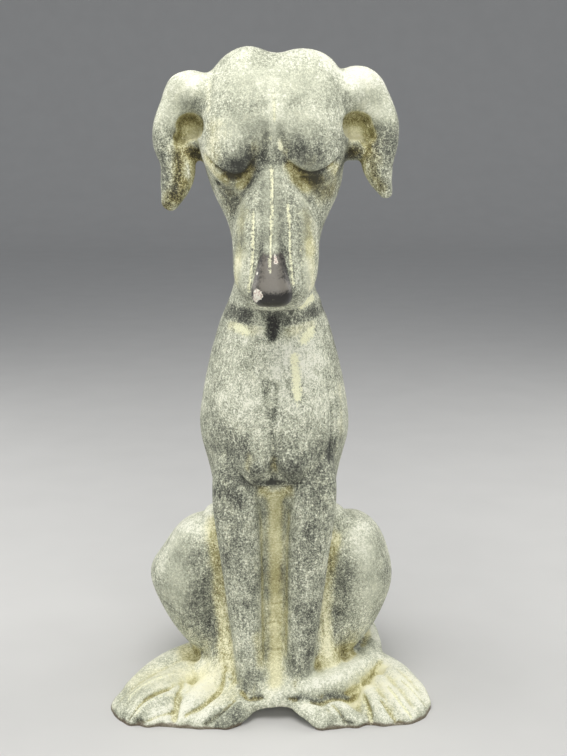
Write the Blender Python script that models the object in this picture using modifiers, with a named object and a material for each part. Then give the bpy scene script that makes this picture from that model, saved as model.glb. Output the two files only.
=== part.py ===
"""A sitting hound with a bowed head, cast in iron in one piece.

The dog faces -Y, stands on the plane z = 0 and is modelled in metres. Its own
left side is at +X. Every table below is in millimetres for a dog of
TABLE_HEIGHT, and is scaled to HEIGHT when it is used.
"""

import math

import bmesh
import bpy
from mathutils import Euler, Matrix, Vector

# Driving dimensions, in metres.
HEIGHT = 0.370  # base to the top of the skull
TABLE_HEIGHT = 370.0  # the same height in the units of the tables
UNIT = HEIGHT / TABLE_HEIGHT

# Cell of each remesh, and the rounds of smoothing where its pieces meet.
BODY_VOXEL, BODY_BLEND = 3.0 * UNIT, 10
LIMB_VOXEL, LIMB_BLEND = 2.2 * UNIT, 4
DETAIL_VOXEL, DETAIL_BLEND = 1.7 * UNIT, 2
TRIANGLES = 8400  # target for the finished solid

# Collections.
OBJECT, CUTTERS, FORMS = "Sitting hound", "Cutters", "Forms"

RING_POINTS = 28
STEPS = 4  # rings between two rows of a table
CAP_RINGS = 3
LEFT, RIGHT = 1, -1  # the dog's own left is at +X
UP = Vector((0, 0, 1))

# Large masses cut by level planes: height, centre x, front y, back y, half width.
TRUNK = (
    (-6, 0, -40, 77, 40),
    (20, 0, -42, 78, 42),
    (45, 0, -44, 76, 41),
    (70, 0, -46, 66, 36),
    (85, 0, -44, 58, 34),
    (97, 0, -43, 52, 34),
    (121, 0, -48, 46, 37),
    (136, 0, -56, 42, 39),
    (157, 0, -63, 36, 43.5),
    (170, 0, -64, 32, 43),
    (193, 0, -61, 25, 39),
    (216, 0, -57, 18, 33),
    (225, 0, -55, 16, 30),
    (236, 0, -53.5, 14, 25),
    (248, 0, -52, 13, 22),
    (275, 0, -50, 12, 20),
    (305, 0, -50, 11, 22),
    (330, 0, -52, 6, 25),
)
THIGH = {
    LEFT: (
        (8, 33, -26, 24, 8),
        (20, 34, -35, 28, 14.5),
        (34, 39, -39, 32, 21.5),
        (50, 42, -41, 34, 26.5),
        (64, 43, -43, 34, 29),
        (80, 43, -45, 26, 26),
        (93, 44, -45, 14, 20.5),
        (102, 45, -42, 0, 14),
        (108, 46, -36, -12, 6),
    ),
    RIGHT: (
        (8, 32, -26, 24, 8),
        (20, 34, -35, 28, 14.5),
        (34, 40, -39, 32, 21.5),
        (50, 44.5, -41, 34, 26),
        (67, 45, -43, 32, 31),
        (82, 43, -45, 22, 25),
        (93, 42, -45, 12, 19.5),
        (102, 41, -42, -2, 14),
        (107, 41, -36, -14, 7),
    ),
}
HEAD = (
    (366.5, 0, -52, -26, 13),
    (362, 0, -62, -18, 25),
    (352, 0, -74, -9, 34),
    (335, 0, -81, -2, 37),
    (320, 0, -79, -2, 38),
    (306, 0.5, -75.5, -8, 37),
    (295, 1.3, -74.5, -18, 33.7),
    (286, 1.3, -76, -28, 29),
    (278, 1.2, -77.5, -35, 25.3),
    (266, 1, -79.5, -41, 22.8),
    (250, 1, -80, -46, 21),
)
MUZZLE = (
    (316, 0, -75, -40, 7),
    (308, 0, -78, -40, 10.5),
    (298, 0, -80.5, -41, 15),
    (288, 0.5, -82.5, -43, 19.5),
    (278, 0.8, -84.5, -45, 22.3),
    (264, 1, -86.5, -47, 22.6),
    (255, 0.8, -87.5, -49, 22),
    (249, 0.6, -87.5, -51, 20.6),
    (244, 0.4, -86, -54, 17.5),
    (240.5, 0, -81, -60, 9),
)
BROW = {
    LEFT: (
        (369.5, 15, -52, -34, 6),
        (365, 16.5, -60, -27, 14),
        (354, 17, -70, -22, 20),
        (338, 16.5, -78.5, -20, 22.5),
        (324, 18, -81, -22, 21.5),
        (314, 20, -80, -30, 17),
        (306, 21.5, -76.5, -36, 12),
        (300, 22, -72, -42, 7),
    ),
    RIGHT: (
        (371, 12.5, -52, -34, 4),
        (366, 14, -60, -27, 12),
        (354, 16, -70, -22, 19),
        (338, 16.5, -78.5, -20, 22),
        (324, 18.5, -81, -22, 21.5),
        (314, 21, -80, -30, 17),
        (306, 22.5, -76.5, -36, 12),
        (300, 23, -72, -42, 7),
    ),
}
NOSE = (
    (270, -1, -87.5, -78, 5.2),
    (262, -1.1, -90, -78, 7),
    (254, -1.2, -92.4, -78, 8.8),
    (249.5, -1.2, -94, -78, 10.2),
    (245.5, -1.1, -93.6, -78, 10.4),
    (242, -1, -91.5, -78, 9.4),
    (239.5, -1, -88, -78, 7),
)
JAW = (
    (248, 0, -84, -50, 19),
    (241, 0, -81, -48, 17.5),
    (236.5, 0, -74, -47, 14.5),
    (233.5, 0, -62, -47, 8),
)
HOLLOW = (
    (-8, 0, -38, 62, 30),
    (8, 0, -38, 62, 30),
    (24, 0, -34, 58, 26),
    (36, 0, -24, 48, 18),
    (43, 0, -8, 32, 7),
)
# Limbs along a path: x, y, z, half across, half deep.
FORELEG = (
    (20, -30, 160, 10, 12),
    (21.5, -42, 140, 13, 14),
    (21.5, -46.5, 122, 13.5, 13.5),
    (19.5, -49, 97, 12.2, 11.5),
    (17.5, -50, 68, 10.4, 10),
    (15.5, -51, 40, 8.8, 9),
    (14, -52, 18, 8, 9),
    (14, -53, 6, 8, 9),
)
FLANK = (
    (34, -28, 108, 8, 10),
    (30, -31, 80, 8.5, 10),
    (28, -33, 52, 9, 10),
    (28, -38, 30, 10, 10),
    (30, -45, 14, 11, 9),
)
WEB = (
    (0, -38, 125, 9, 9),
    (0, -38, 90, 9, 10),
    (0, -38, 50, 9, 10),
    (0, -42, 26, 9, 11),
    (0, -54, 15, 14, 9),
    (1, -64.5, 9.5, 18, 6.5),
)
EAR = {
    RIGHT: (
        (26, -38, 345, 12, 16),
        (38, -39, 345.5, 12, 15),
        (45, -41, 345.6, 12.6, 14.5),
        (50.3, -42, 338.8, 10.4, 13),
        (56.5, -43, 329, 7.6, 12),
        (57, -44, 320, 6.8, 11),
        (51, -45, 310, 9.2, 10),
        (52.4, -46, 299, 8.2, 8),
        (55.5, -46, 290, 5, 5.5),
    ),
    LEFT: (
        (26, -38, 347, 12, 16),
        (37, -39, 346.5, 12, 15),
        (45, -41, 348, 13, 14.5),
        (51.5, -42, 341.5, 11, 13),
        (58, -43, 331.5, 8.2, 12),
        (59, -44, 322, 7, 11),
        (55.2, -45, 312, 8.7, 10),
        (56.7, -46, 303, 6.6, 8),
        (59.8, -46, 295.5, 3.8, 5),
    ),
}
TAIL = (
    (6, 62, 24, 13, 13),
    (30, 60, 15, 11, 10.5),
    (48, 46, 13, 9.6, 9.4),
    (56, 26, 13.5, 8.8, 8.8),
    (58, 6, 14, 8.4, 8.4),
    (57, -12, 15, 8.8, 8.8),
    (53, -29, 15, 8.6, 8.6),
    (44, -43, 14.6, 8.4, 8.4),
    (33, -52.5, 14.2, 8.2, 8.2),
    (23, -57.5, 13.8, 7.9, 7.9),
    (17, -60, 13.4, 7.4, 7.0),
)
TAIL_BED = (
    (22, -50, 4.5, 10, 7.5),
    (40, -44, 4.5, 12, 7.5),
    (53, -29, 5, 13, 8.5),
    (56, 4, 6, 10, 9),
)
# Feet, deep axis upright: the mound of each foot and then its toes.
HIND_FOOT = {
    RIGHT: (
        (38, 4, 6, 12, 11),
        (54, -16, 7, 15, 13),
        (68, -32, 6.5, 14, 12),
        (79, -45, 4, 12, 9),
    ),
    LEFT: (
        (40, 4, 6, 12, 11),
        (57, -18, 6.5, 14, 12),
        (70, -32, 6, 13, 11),
        (79, -43, 4, 10, 8.5),
    ),
}
FORE_FOOT = (
    (13, -52, 8, 9, 10),
    (24, -56, 5, 11, 9),
    (36, -60, 3, 11, 7),
)
TOES = {
    RIGHT: (
        ((52, -34, 9, 11, 10), (66, -48, 8, 10, 9.5), (78, -58, 6, 8.5, 8), (86, -63, 2.5, 7, 5)),
        ((52, -52, 7, 6, 7.5), (64, -62, 6, 6, 7), (75, -68, 4, 5.5, 6), (81, -71, 1.5, 4.5, 4)),
        ((54, -61, 4, 6, 6), (64, -69, 3, 5.5, 5), (72, -73, 1, 4.5, 3.6)),
        ((32, -40, 9, 9, 9), (42, -56, 7, 9, 8.5), (49, -67, 4.5, 7, 6.5), (53, -73, 1, 5.5, 4.5)),
        ((24, -58, 6, 6, 7), (34, -68, 4.5, 6, 6.5), (42, -74.5, 1.5, 5, 5)),
        ((14, -60, 6, 7, 7), (21, -68.5, 5, 7.5, 7), (28, -74.5, 2.5, 6, 5.5)),
    ),
    LEFT: (
        ((12, -60, 6, 7, 7), (19, -69, 5, 8, 7), (27, -75.5, 2.5, 6.5, 5.5)),
        ((28, -61, 5, 7, 6.5), (38, -69, 4, 6.5, 6), (46, -74, 1.5, 5.5, 4.5)),
        ((54, -54, 6, 6, 8), (58, -65, 4.5, 6, 6.5), (62, -73, 1.5, 5, 4.2)),
        ((61, -47, 8, 6, 9), (68, -60, 6, 6, 7.5), (75, -70, 2, 5, 5)),
        ((68, -40, 9, 6, 9), (76, -54, 7, 6, 7.5), (82, -64, 2.5, 5, 5.5)),
        ((74, -34, 8, 7, 8), (82, -46, 5.5, 6.5, 7), (86, -55, 2.5, 5, 5.5)),
    ),
}
MUZZLE_FULLNESS, LEG_FULLNESS, NOSE_FULLNESS, EAR_FULLNESS = 0.8, 0.85, 0.8, 0.85
# Rounded masses: centre and half sizes.
CHEST_LOBE = ((9.5, -46.5, 157), (15.5, 17.5, 25))
EAR_WEB = ((43, -33, 331), (14, 9, 17))
EAR_ROOT = ((37, -46, 346), (15, 14.5, 11))
EAR_LEDGE = ((41.5, -41.5, 318), (8.8, 9.5, 6.2))
HEEL = {
    RIGHT: ((36, -36, 11), (14, 12, 12)),
    LEFT: ((36, -32, 10), (14, 12, 12)),
}
EAR_CUP = {
    RIGHT: ((43.5, -60, 329.5), (8.2, 18, 7.8)),
    LEFT: ((43.5, -60, 330), (9, 18, 8.2)),
}
# The collar: centre, half sizes, half height, lean about X and Y in degrees.
COLLAR = ((0.5, -19.5, 231.6), (25.9, 34.9), 3.9, (5.0, -1.5, 0.0))
# The rim of the base on the ground, from the front round by +X: x, y.
BASE_RIM = (
    (0, -69), (9, -69), (17, -72), (24, -78), (32, -80), (40, -78), (48, -75),
    (65, -76), (79, -73), (87, -65), (91, -52), (87, -38), (77, -24), (62, -8),
    (58, 16), (51, 42), (36, 62), (14, 73), (-14, 73), (-36, 62), (-51, 42),
    (-56, 16), (-60, -6), (-78, -20), (-91, -36), (-96, -50), (-94, -59),
    (-89, -68), (-82, -73), (-62, -76), (-48, -78), (-33, -79), (-23, -76),
    (-16, -71), (-8, -69),
)
BASE_LEVELS = ((-6, 1.0), (0.8, 1.0), (2.6, 0.99), (4, 0.965))  # height, scale
ARCH_HALF_WIDTH, ARCH_HEIGHT, ARCH_CENTRE, ARCH_FULLNESS = 21.0, 8.0, 2.0, 1.35
ARCH_FRONT, ARCH_BACK = -100.0, -30.0


def clear_scene():
    for obj in list(bpy.data.objects):
        bpy.data.objects.remove(obj, do_unlink=True)


def smooth_rows(rows):
    """Rows of a table with STEPS - 1 more between each two, on a Catmull-Rom curve."""
    made = []
    last = len(rows) - 1
    for i in range(last):
        before, start = rows[max(i - 1, 0)], rows[i]
        end, after = rows[i + 1], rows[min(i + 2, last)]
        for step in range(STEPS):
            t = step / STEPS
            made.append(
                [
                    0.5
                    * (
                        2 * b
                        + (c - a) * t
                        + (2 * a - 5 * b + 4 * c - d) * t**2
                        + (3 * b - a - 3 * c + d) * t**3
                    )
                    for a, b, c, d in zip(before, start, end, after)
                ]
            )
    return made + [list(rows[last])]


def collection(name):
    made = bpy.data.collections.get(name)
    if made is None:
        made = bpy.data.collections.new(name)
        bpy.context.scene.collection.children.link(made)
    return made


def mesh_object(name, mesh_maker, group=FORMS):
    """A new object whose mesh is what mesh_maker puts into a bmesh, closed and facing out."""
    bm = bmesh.new()
    mesh_maker(bm)
    bmesh.ops.recalc_face_normals(bm, faces=bm.faces)
    mesh = bpy.data.meshes.new(name)
    bm.to_mesh(mesh)
    bm.free()
    obj = bpy.data.objects.new(name, mesh)
    collection(group).objects.link(obj)
    return obj


def loft(name, frames, fullness=1.0, group=FORMS):
    """A closed skin over rings, each given by the matrix that places a unit circle.

    A fullness under 1 swells the circle towards a square with round corners.
    """

    def skin(bm):
        made = bmesh.ops.create_circle(bm, segments=RING_POINTS, radius=1.0)
        for vert in made["verts"]:
            for axis in (0, 1):
                vert.co[axis] = math.copysign(abs(vert.co[axis]) ** fullness, vert.co[axis])
        bmesh.ops.transform(bm, matrix=frames[0], verts=made["verts"])
        rim = list(bm.edges)
        for before, after in zip(frames, frames[1:]):
            grown = bmesh.ops.extrude_edge_only(bm, edges=rim)["geom"]
            verts = [item for item in grown if isinstance(item, bmesh.types.BMVert)]
            bmesh.ops.transform(bm, matrix=after @ before.inverted(), verts=verts)
            rim = [
                item
                for item in grown
                if isinstance(item, bmesh.types.BMEdge) and len(item.link_faces) == 1
            ]
        bmesh.ops.holes_fill(bm, edges=bm.edges, sides=RING_POINTS)

    return mesh_object(name, skin, group)


def level_mass(name, table, side=LEFT, fullness=1.0, group=FORMS):
    """A mass given by its level cuts."""
    frames = []
    for z, x, front, back, half_width in smooth_rows(table):
        centre = Vector((side * x, (front + back) / 2, z)) * UNIT
        size = Vector((half_width, (back - front) / 2, 1.0)) * UNIT
        frames.append(Matrix.LocRotScale(centre, None, size))
    return loft(name, frames, fullness, group)


def limb(name, table, side=LEFT, deep=Vector((0, 1, 0)), fullness=1.0):
    """A mass along a path, given by its cuts square to it, with rounded ends."""
    rows = smooth_rows(table)
    centres = [Vector((side * x, y, z)) * UNIT for x, y, z, _, _ in rows]
    sizes = [(across * UNIT, depth * UNIT) for _, _, _, across, depth in rows]
    last = len(rows) - 1
    along = [
        (centres[min(i + 1, last)] - centres[max(i - 1, 0)]).normalized()
        for i in range(last + 1)
    ]
    frames = []

    def add(i, shrink, push):
        across_axis = along[i].cross(deep).normalized()
        deep_axis = across_axis.cross(along[i])
        across, depth = sizes[i]
        turn = Matrix((across_axis, deep_axis, along[i])).transposed().to_4x4()
        place = Matrix.Translation(centres[i] + along[i] * push * min(across, depth))
        frames.append(
            place @ turn @ Matrix.Diagonal((across * shrink, depth * shrink, UNIT, 1))
        )

    angles = [k / (CAP_RINGS + 1) * math.pi / 2 for k in range(1, CAP_RINGS + 1)]
    for angle in reversed(angles):
        add(0, math.cos(angle), -math.sin(angle))
    for i in range(last + 1):
        add(i, 1.0, 0.0)
    for angle in angles:
        add(last, math.cos(angle), math.sin(angle))
    return loft(name, frames, fullness)


def ball(name, centre, half_sizes, side=LEFT, turn=0.0, group=FORMS):
    """An ellipsoid, turned about the upright axis."""
    place = (
        Matrix.Translation(Vector((side * centre[0], centre[1], centre[2])) * UNIT)
        @ Matrix.Rotation(side * turn, 4, "Z")
        @ Matrix.Diagonal((*(Vector(half_sizes) * UNIT), 1))
    )
    return mesh_object(
        name,
        lambda bm: bmesh.ops.create_uvsphere(
            bm, u_segments=24, v_segments=16, radius=1.0, matrix=place
        ),
        group,
    )


def base_plate(name):
    """The thin rim that joins the feet: one outline raised in bevelled steps."""
    corners = [Vector((x, y, 0)) for x, y in BASE_RIM]
    middle = sum(corners, Vector()) / len(corners)
    frames = [
        Matrix.Translation((middle + Vector((0, 0, height))) * UNIT)
        @ Matrix.Diagonal((scale * UNIT, scale * UNIT, UNIT, 1))
        for height, scale in BASE_LEVELS
    ]

    def skin(bm):
        verts = [bm.verts.new(frames[0] @ (p - middle)) for p in corners]
        floor = bm.faces.new(verts)
        faces = [floor]
        for before, after in zip(frames, frames[1:]):
            grown = bmesh.ops.extrude_face_region(
                bm, geom=faces, use_keep_orig=before is frames[0]
            )["geom"]
            verts = [item for item in grown if isinstance(item, bmesh.types.BMVert)]
            faces = [item for item in grown if isinstance(item, bmesh.types.BMFace)]
            bmesh.ops.transform(bm, matrix=after @ before.inverted(), verts=verts)

    return mesh_object(name, skin)


def collar(name):
    centre, half_sizes, half_height, lean = COLLAR
    turn = Euler([math.radians(part) for part in lean]).to_matrix().to_4x4()
    place = Matrix.Translation(Vector(centre) * UNIT) @ turn
    frames = []
    for level, grow in ((-1, -3), (-1, 1.0), (0, 0.7), (1, -0.6), (1, -4)):
        size = [(half + grow) * UNIT for half in half_sizes]
        lift = Matrix.Translation((0, 0, level * half_height * UNIT))
        frames.append(place @ lift @ Matrix.Diagonal((*size, 1, 1)))
    return loft(name, frames)


def fuse(name, pieces, voxel, rounds):
    """One skin round all the pieces, with its creases softened."""

    def gather(bm):
        for piece in pieces:
            bm.from_mesh(piece.data)

    obj = mesh_object(name, gather)
    for piece in pieces:
        bpy.data.objects.remove(piece, do_unlink=True)
    remesh = obj.modifiers.new("Fuse", "REMESH")
    remesh.mode = "VOXEL"
    remesh.voxel_size = voxel
    smooth = obj.modifiers.new("Soften", "SMOOTH")
    smooth.factor = 0.5
    smooth.iterations = rounds
    return bake_modifiers(obj)


def bake_modifiers(obj):
    """Replaces the object's mesh by the one that its modifiers make."""
    graph = bpy.context.evaluated_depsgraph_get()
    mesh = bpy.data.meshes.new_from_object(obj.evaluated_get(graph))
    obj.modifiers.clear()
    obj.data = mesh
    return obj


def body():
    pieces = [level_mass("trunk", TRUNK), level_mass("head", HEAD), limb("web", WEB)]
    for side in (LEFT, RIGHT):
        pieces += [
            level_mass("thigh", THIGH[side], side),
            level_mass("brow", BROW[side], side),
        ]
    return fuse("body", pieces, BODY_VOXEL, BODY_BLEND)


def with_limbs():
    pieces = [
        body(),
        level_mass("muzzle", MUZZLE, fullness=MUZZLE_FULLNESS),
        base_plate("base"),
        limb("tail_bed", TAIL_BED, deep=UP),
    ]
    for side in (LEFT, RIGHT):
        pieces += [
            limb("foreleg", FORELEG, side, fullness=LEG_FULLNESS),
            limb("flank", FLANK, side),
            ball("chest_lobe", *CHEST_LOBE, side),
            ball("ear_web", *EAR_WEB, side),
            ball("ear_root", *EAR_ROOT, side),
            ball("heel", *HEEL[side], side),
            limb("hind_foot", HIND_FOOT[side], side, deep=UP),
            limb("fore_foot", FORE_FOOT, side, deep=UP),
        ]
    return fuse("limbs", pieces, LIMB_VOXEL, LIMB_BLEND)


def with_details():
    pieces = [
        with_limbs(),
        limb("tail", TAIL, deep=UP),
        level_mass("jaw", JAW),
        level_mass("nose", NOSE, fullness=NOSE_FULLNESS),
        collar("collar"),
    ]
    for side in (LEFT, RIGHT):
        pieces.append(limb("ear", EAR[side], side, fullness=EAR_FULLNESS))
        pieces.append(ball("ear_ledge", *EAR_LEDGE, side))
        pieces += [limb("toe", table, side, deep=UP) for table in TOES[side]]
    return fuse("cast_dog", pieces, DETAIL_VOXEL, DETAIL_BLEND)


def ground_block():
    """Everything below the plane z = 0."""
    place = Matrix.Translation((0, 0, -0.5 * HEIGHT)) @ Matrix.Scale(HEIGHT, 4)
    return mesh_object(
        "ground", lambda bm: bmesh.ops.create_cube(bm, size=1.0, matrix=place), CUTTERS
    )


def arch():
    """The low tunnel between the fore feet, open to the hollow."""
    size = Matrix.Diagonal((ARCH_HALF_WIDTH * UNIT, ARCH_HEIGHT * UNIT, UNIT, 1))
    turn = Matrix.Rotation(math.radians(90), 4, "X")
    frames = [
        Matrix.Translation(Vector((ARCH_CENTRE, y, 0)) * UNIT) @ turn @ size
        for y in (ARCH_FRONT, ARCH_BACK)
    ]
    return loft("arch", frames, ARCH_FULLNESS, group=CUTTERS)


def cut(obj, cutters):
    """Takes the cutters, one after another, away from the object."""
    for cutter in cutters:
        cutter.hide_render = True
        cutter.display_type = "WIRE"
        step = obj.modifiers.new(f"Cut {cutter.name}", "BOOLEAN")
        step.operation = "DIFFERENCE"
        step.solver = "EXACT"
        step.object = cutter


def thin(obj, triangles):
    """Fewer, larger triangles over the same form."""
    reduce = obj.modifiers.new("Thin", "DECIMATE")
    count = sum(len(face.vertices) - 2 for face in obj.data.polygons)
    reduce.ratio = triangles / count
    reduce.use_collapse_triangulate = True
    return bake_modifiers(obj)


def place_on_origin(obj, cutters):
    """Centres the box over the origin and sets the exact height."""
    spans = [[vert.co[axis] for vert in obj.data.vertices] for axis in range(3)]
    x, y = [(min(span) + max(span)) / 2 for span in spans[:2]]
    place = Matrix.Scale(HEIGHT / max(spans[2]), 4) @ Matrix.Translation((-x, -y, 0))
    for item in (obj, *cutters):
        item.data.transform(place)


def patinated_iron():
    """Dark iron with a pale grey-green patina."""
    material = bpy.data.materials.new("patinated iron")
    material.use_nodes = True
    shader = material.node_tree.nodes["Principled BSDF"]
    shader.inputs["Base Color"].default_value = (0.36, 0.39, 0.35, 1)
    shader.inputs["Metallic"].default_value = 0.2
    shader.inputs["Roughness"].default_value = 0.7
    return material


def main():
    clear_scene()
    dog = with_details()
    collection(OBJECT).objects.link(dog)
    collection(FORMS).objects.unlink(dog)
    thin(dog, TRIANGLES)
    cutters = [
        level_mass("hollow", HOLLOW, group=CUTTERS),
        arch(),
        *[ball("ear_cup", *EAR_CUP[side], side, group=CUTTERS) for side in (LEFT, RIGHT)],
        ground_block(),
    ]
    place_on_origin(dog, cutters)
    cut(dog, cutters)
    dog.data.materials.append(patinated_iron())
    dog.data.shade_smooth()
    bpy.data.collections.remove(collection(FORMS))


main()
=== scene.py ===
"""A sitting hound in cast iron, with a worn grey-green and cream patina.

The casting is modelled from lofted masses, limbs and balls, which are fused,
softened and then tooled with grooves, ridges and dents. Tables of the form are
in millimetres for a dog TABLE_HEIGHT tall that faces -Y, with x = 0 on the
middle of its muzzle and its own left at +X.
"""

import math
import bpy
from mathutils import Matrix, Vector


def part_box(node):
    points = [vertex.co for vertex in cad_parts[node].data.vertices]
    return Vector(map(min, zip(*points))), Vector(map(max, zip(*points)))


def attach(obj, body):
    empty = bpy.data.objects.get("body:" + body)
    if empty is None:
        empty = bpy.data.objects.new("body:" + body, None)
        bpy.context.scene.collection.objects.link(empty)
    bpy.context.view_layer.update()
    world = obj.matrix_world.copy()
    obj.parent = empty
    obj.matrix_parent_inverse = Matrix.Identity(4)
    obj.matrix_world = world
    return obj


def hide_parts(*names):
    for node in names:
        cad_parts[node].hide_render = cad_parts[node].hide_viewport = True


bl_info = {
    "name": "Sitting Hound Casting",
    "version": (1, 0, 0),
    "blender": (4, 5, 0),
    "location": "View3D > Sidebar > Hound",
    "description": "Models a sitting cast iron hound, its patina and a small studio",
    "category": "Add Mesh",
}

import bmesh
import bpy
import numpy as np
from bmesh.types import BMEdge, BMFace, BMVert
from bpy.props import (
    FloatProperty,
    FloatVectorProperty,
    IntProperty,
    PointerProperty,
)
from bpy.types import Operator, Panel, PropertyGroup
from mathutils import Euler, Matrix, Vector, noise
from mathutils.bvhtree import BVHTree

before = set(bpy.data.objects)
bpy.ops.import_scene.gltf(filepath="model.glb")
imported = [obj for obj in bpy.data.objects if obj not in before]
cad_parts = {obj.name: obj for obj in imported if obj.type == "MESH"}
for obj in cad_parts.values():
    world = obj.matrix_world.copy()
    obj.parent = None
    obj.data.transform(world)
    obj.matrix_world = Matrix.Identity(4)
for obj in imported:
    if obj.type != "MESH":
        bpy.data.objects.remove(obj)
NODE = "cast_dog"
CAD_LOW, CAD_HIGH = [Vector(corner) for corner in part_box(NODE)]
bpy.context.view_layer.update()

TABLE_HEIGHT = 370.0
UNIT = (CAD_HIGH.z - CAD_LOW.z) / TABLE_HEIGHT
LEFT, RIGHT = 1, -1
UP = Vector((0, 0, 1))
RING_POINTS = 40
STEPS = 5
CAP_RINGS = 4

# Large masses cut by level planes: height, centre x, front y, back y, half width.
TRUNK = (
    (-6, 0, -40, 77, 40),
    (20, 0, -42, 78, 42),
    (45, 0, -44, 76, 41),
    (70, 0, -46, 66, 36),
    (85, 0, -44, 58, 34),
    (97, 0, -43, 52, 34),
    (121, 0, -48, 46, 37),
    (136, 0, -56, 42, 39),
    (157, 0, -63, 36, 43.5),
    (170, 0, -64, 32, 43),
    (193, 0, -61, 25, 39),
    (216, 0, -57, 18, 33),
    (225, 0, -55, 16, 30),
    (236, 0, -53.5, 14, 25),
    (248, 0, -52, 13, 22),
    (275, 0, -50, 12, 20),
    (305, 0, -50, 11, 22),
    (330, 0, -52, 6, 25),
)
THIGH = {
    LEFT: (
        (8, 33, -26, 24, 8),
        (20, 34, -35, 28, 14.5),
        (34, 39, -39, 32, 21.5),
        (50, 42, -41, 34, 26.5),
        (64, 43, -43, 34, 29),
        (80, 43, -45, 26, 26),
        (93, 44, -45, 14, 20.5),
        (102, 45, -42, 0, 14),
        (108, 46, -36, -12, 6),
    ),
    RIGHT: (
        (8, 32, -26, 24, 8),
        (20, 34, -35, 28, 14.5),
        (34, 40, -39, 32, 21.5),
        (50, 44.5, -41, 34, 26),
        (67, 45, -43, 32, 31),
        (82, 43, -45, 22, 25),
        (93, 42, -45, 12, 19.5),
        (102, 41, -42, -2, 14),
        (107, 41, -36, -14, 7),
    ),
}
HEAD = (
    (366.5, 0, -52, -26, 13),
    (362, 0, -62, -18, 25),
    (352, 0, -74, -9, 34),
    (335, 0, -81, -2, 37),
    (320, 0, -79, -2, 38),
    (306, 0.5, -75.5, -8, 37),
    (295, 1.3, -74.5, -18, 33.7),
    (286, 1.3, -76, -28, 29),
    (278, 1.2, -77.5, -35, 25.3),
    (266, 1, -79.5, -41, 22.8),
    (250, 1, -80, -46, 21),
)
MUZZLE = (
    (316, 0, -75, -40, 7),
    (308, 0, -78, -40, 10.5),
    (298, 0, -80.5, -41, 15),
    (288, 0.5, -82.5, -43, 19.5),
    (278, 0.8, -84.5, -45, 22.3),
    (264, 1, -86.5, -47, 22.6),
    (255, 0.8, -87.5, -49, 22),
    (249, 0.6, -87.5, -51, 20.6),
    (244, 0.4, -86, -54, 17.5),
    (240.5, 0, -81, -60, 9),
)
BROW = {
    LEFT: (
        (369.5, 15, -52, -34, 6),
        (365, 16.5, -60, -27, 14),
        (354, 17, -70, -22, 20),
        (338, 16.5, -78.5, -20, 22.5),
        (324, 18, -81, -22, 21.5),
        (314, 20, -80, -30, 17),
        (306, 21.5, -76.5, -36, 12),
        (300, 22, -72, -42, 7),
    ),
    RIGHT: (
        (371, 12.5, -52, -34, 4),
        (366, 14, -60, -27, 12),
        (354, 16, -70, -22, 19),
        (338, 16.5, -78.5, -20, 22),
        (324, 18.5, -81, -22, 21.5),
        (314, 21, -80, -30, 17),
        (306, 22.5, -76.5, -36, 12),
        (300, 23, -72, -42, 7),
    ),
}
NOSE = (
    (270, -1, -87.5, -78, 5.2),
    (262, -1.1, -90, -78, 7),
    (254, -1.2, -92.4, -78, 8.8),
    (249.5, -1.2, -94, -78, 10.2),
    (245.5, -1.1, -93.6, -78, 10.4),
    (242, -1, -91.5, -78, 9.4),
    (239.5, -1, -88, -78, 7),
)
JAW = (
    (248, 0, -84, -50, 19),
    (241, 0, -81, -48, 17.5),
    (236.5, 0, -74, -47, 14.5),
    (233.5, 0, -62, -47, 8),
)
HOLLOW = (
    (-8, 0, -38, 62, 30),
    (8, 0, -38, 62, 30),
    (24, 0, -34, 58, 26),
    (36, 0, -24, 48, 18),
    (43, 0, -8, 32, 7),
)
# Limbs along a path: x, y, z, half across, half deep.
FORELEG = (
    (20, -30, 160, 10, 12),
    (21.5, -42, 140, 13, 14),
    (21.5, -46.5, 122, 13.5, 13.5),
    (19.5, -49, 97, 12.2, 11.5),
    (17.5, -50, 68, 10.4, 10),
    (15.5, -51, 40, 8.8, 9),
    (14, -52, 18, 8, 9),
    (14, -53, 6, 8, 9),
)
FLANK = (
    (34, -28, 108, 8, 10),
    (30, -31, 80, 8.5, 10),
    (28, -33, 52, 9, 10),
    (28, -38, 30, 10, 10),
    (30, -45, 14, 11, 9),
)
WEB = (
    (0, -38, 125, 9, 9),
    (0, -38, 90, 9, 10),
    (0, -38, 50, 9, 10),
    (0, -42, 26, 9, 11),
    (0, -54, 15, 14, 9),
    (1, -64.5, 9.5, 18, 6.5),
)
EAR = {
    RIGHT: (
        (26, -38, 345, 12, 16),
        (38, -39, 345.5, 12, 15),
        (45, -41, 345.6, 12.6, 14.5),
        (50.3, -42, 338.8, 10.4, 13),
        (56.5, -43, 329, 7.6, 12),
        (57, -44, 320, 6.8, 11),
        (51, -45, 310, 9.2, 10),
        (52.4, -46, 299, 8.2, 8),
        (55.5, -46, 290, 5, 5.5),
    ),
    LEFT: (
        (26, -38, 347, 12, 16),
        (37, -39, 346.5, 12, 15),
        (45, -41, 348, 13, 14.5),
        (51.5, -42, 341.5, 11, 13),
        (58, -43, 331.5, 8.2, 12),
        (59, -44, 322, 7, 11),
        (55.2, -45, 312, 8.7, 10),
        (56.7, -46, 303, 6.6, 8),
        (59.8, -46, 295.5, 3.8, 5),
    ),
}
TAIL = (
    (6, 62, 24, 13, 13),
    (30, 60, 15, 11, 10.5),
    (48, 46, 13, 9.6, 9.4),
    (56, 26, 13.5, 8.8, 8.8),
    (58, 6, 14, 8.4, 8.4),
    (57, -12, 15, 8.8, 8.8),
    (53, -29, 15, 8.6, 8.6),
    (44, -43, 14.6, 8.4, 8.4),
    (33, -52.5, 14.2, 8.2, 8.2),
    (23, -57.5, 13.8, 7.9, 7.9),
    (17, -60, 13.4, 7.4, 7.0),
)
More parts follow.
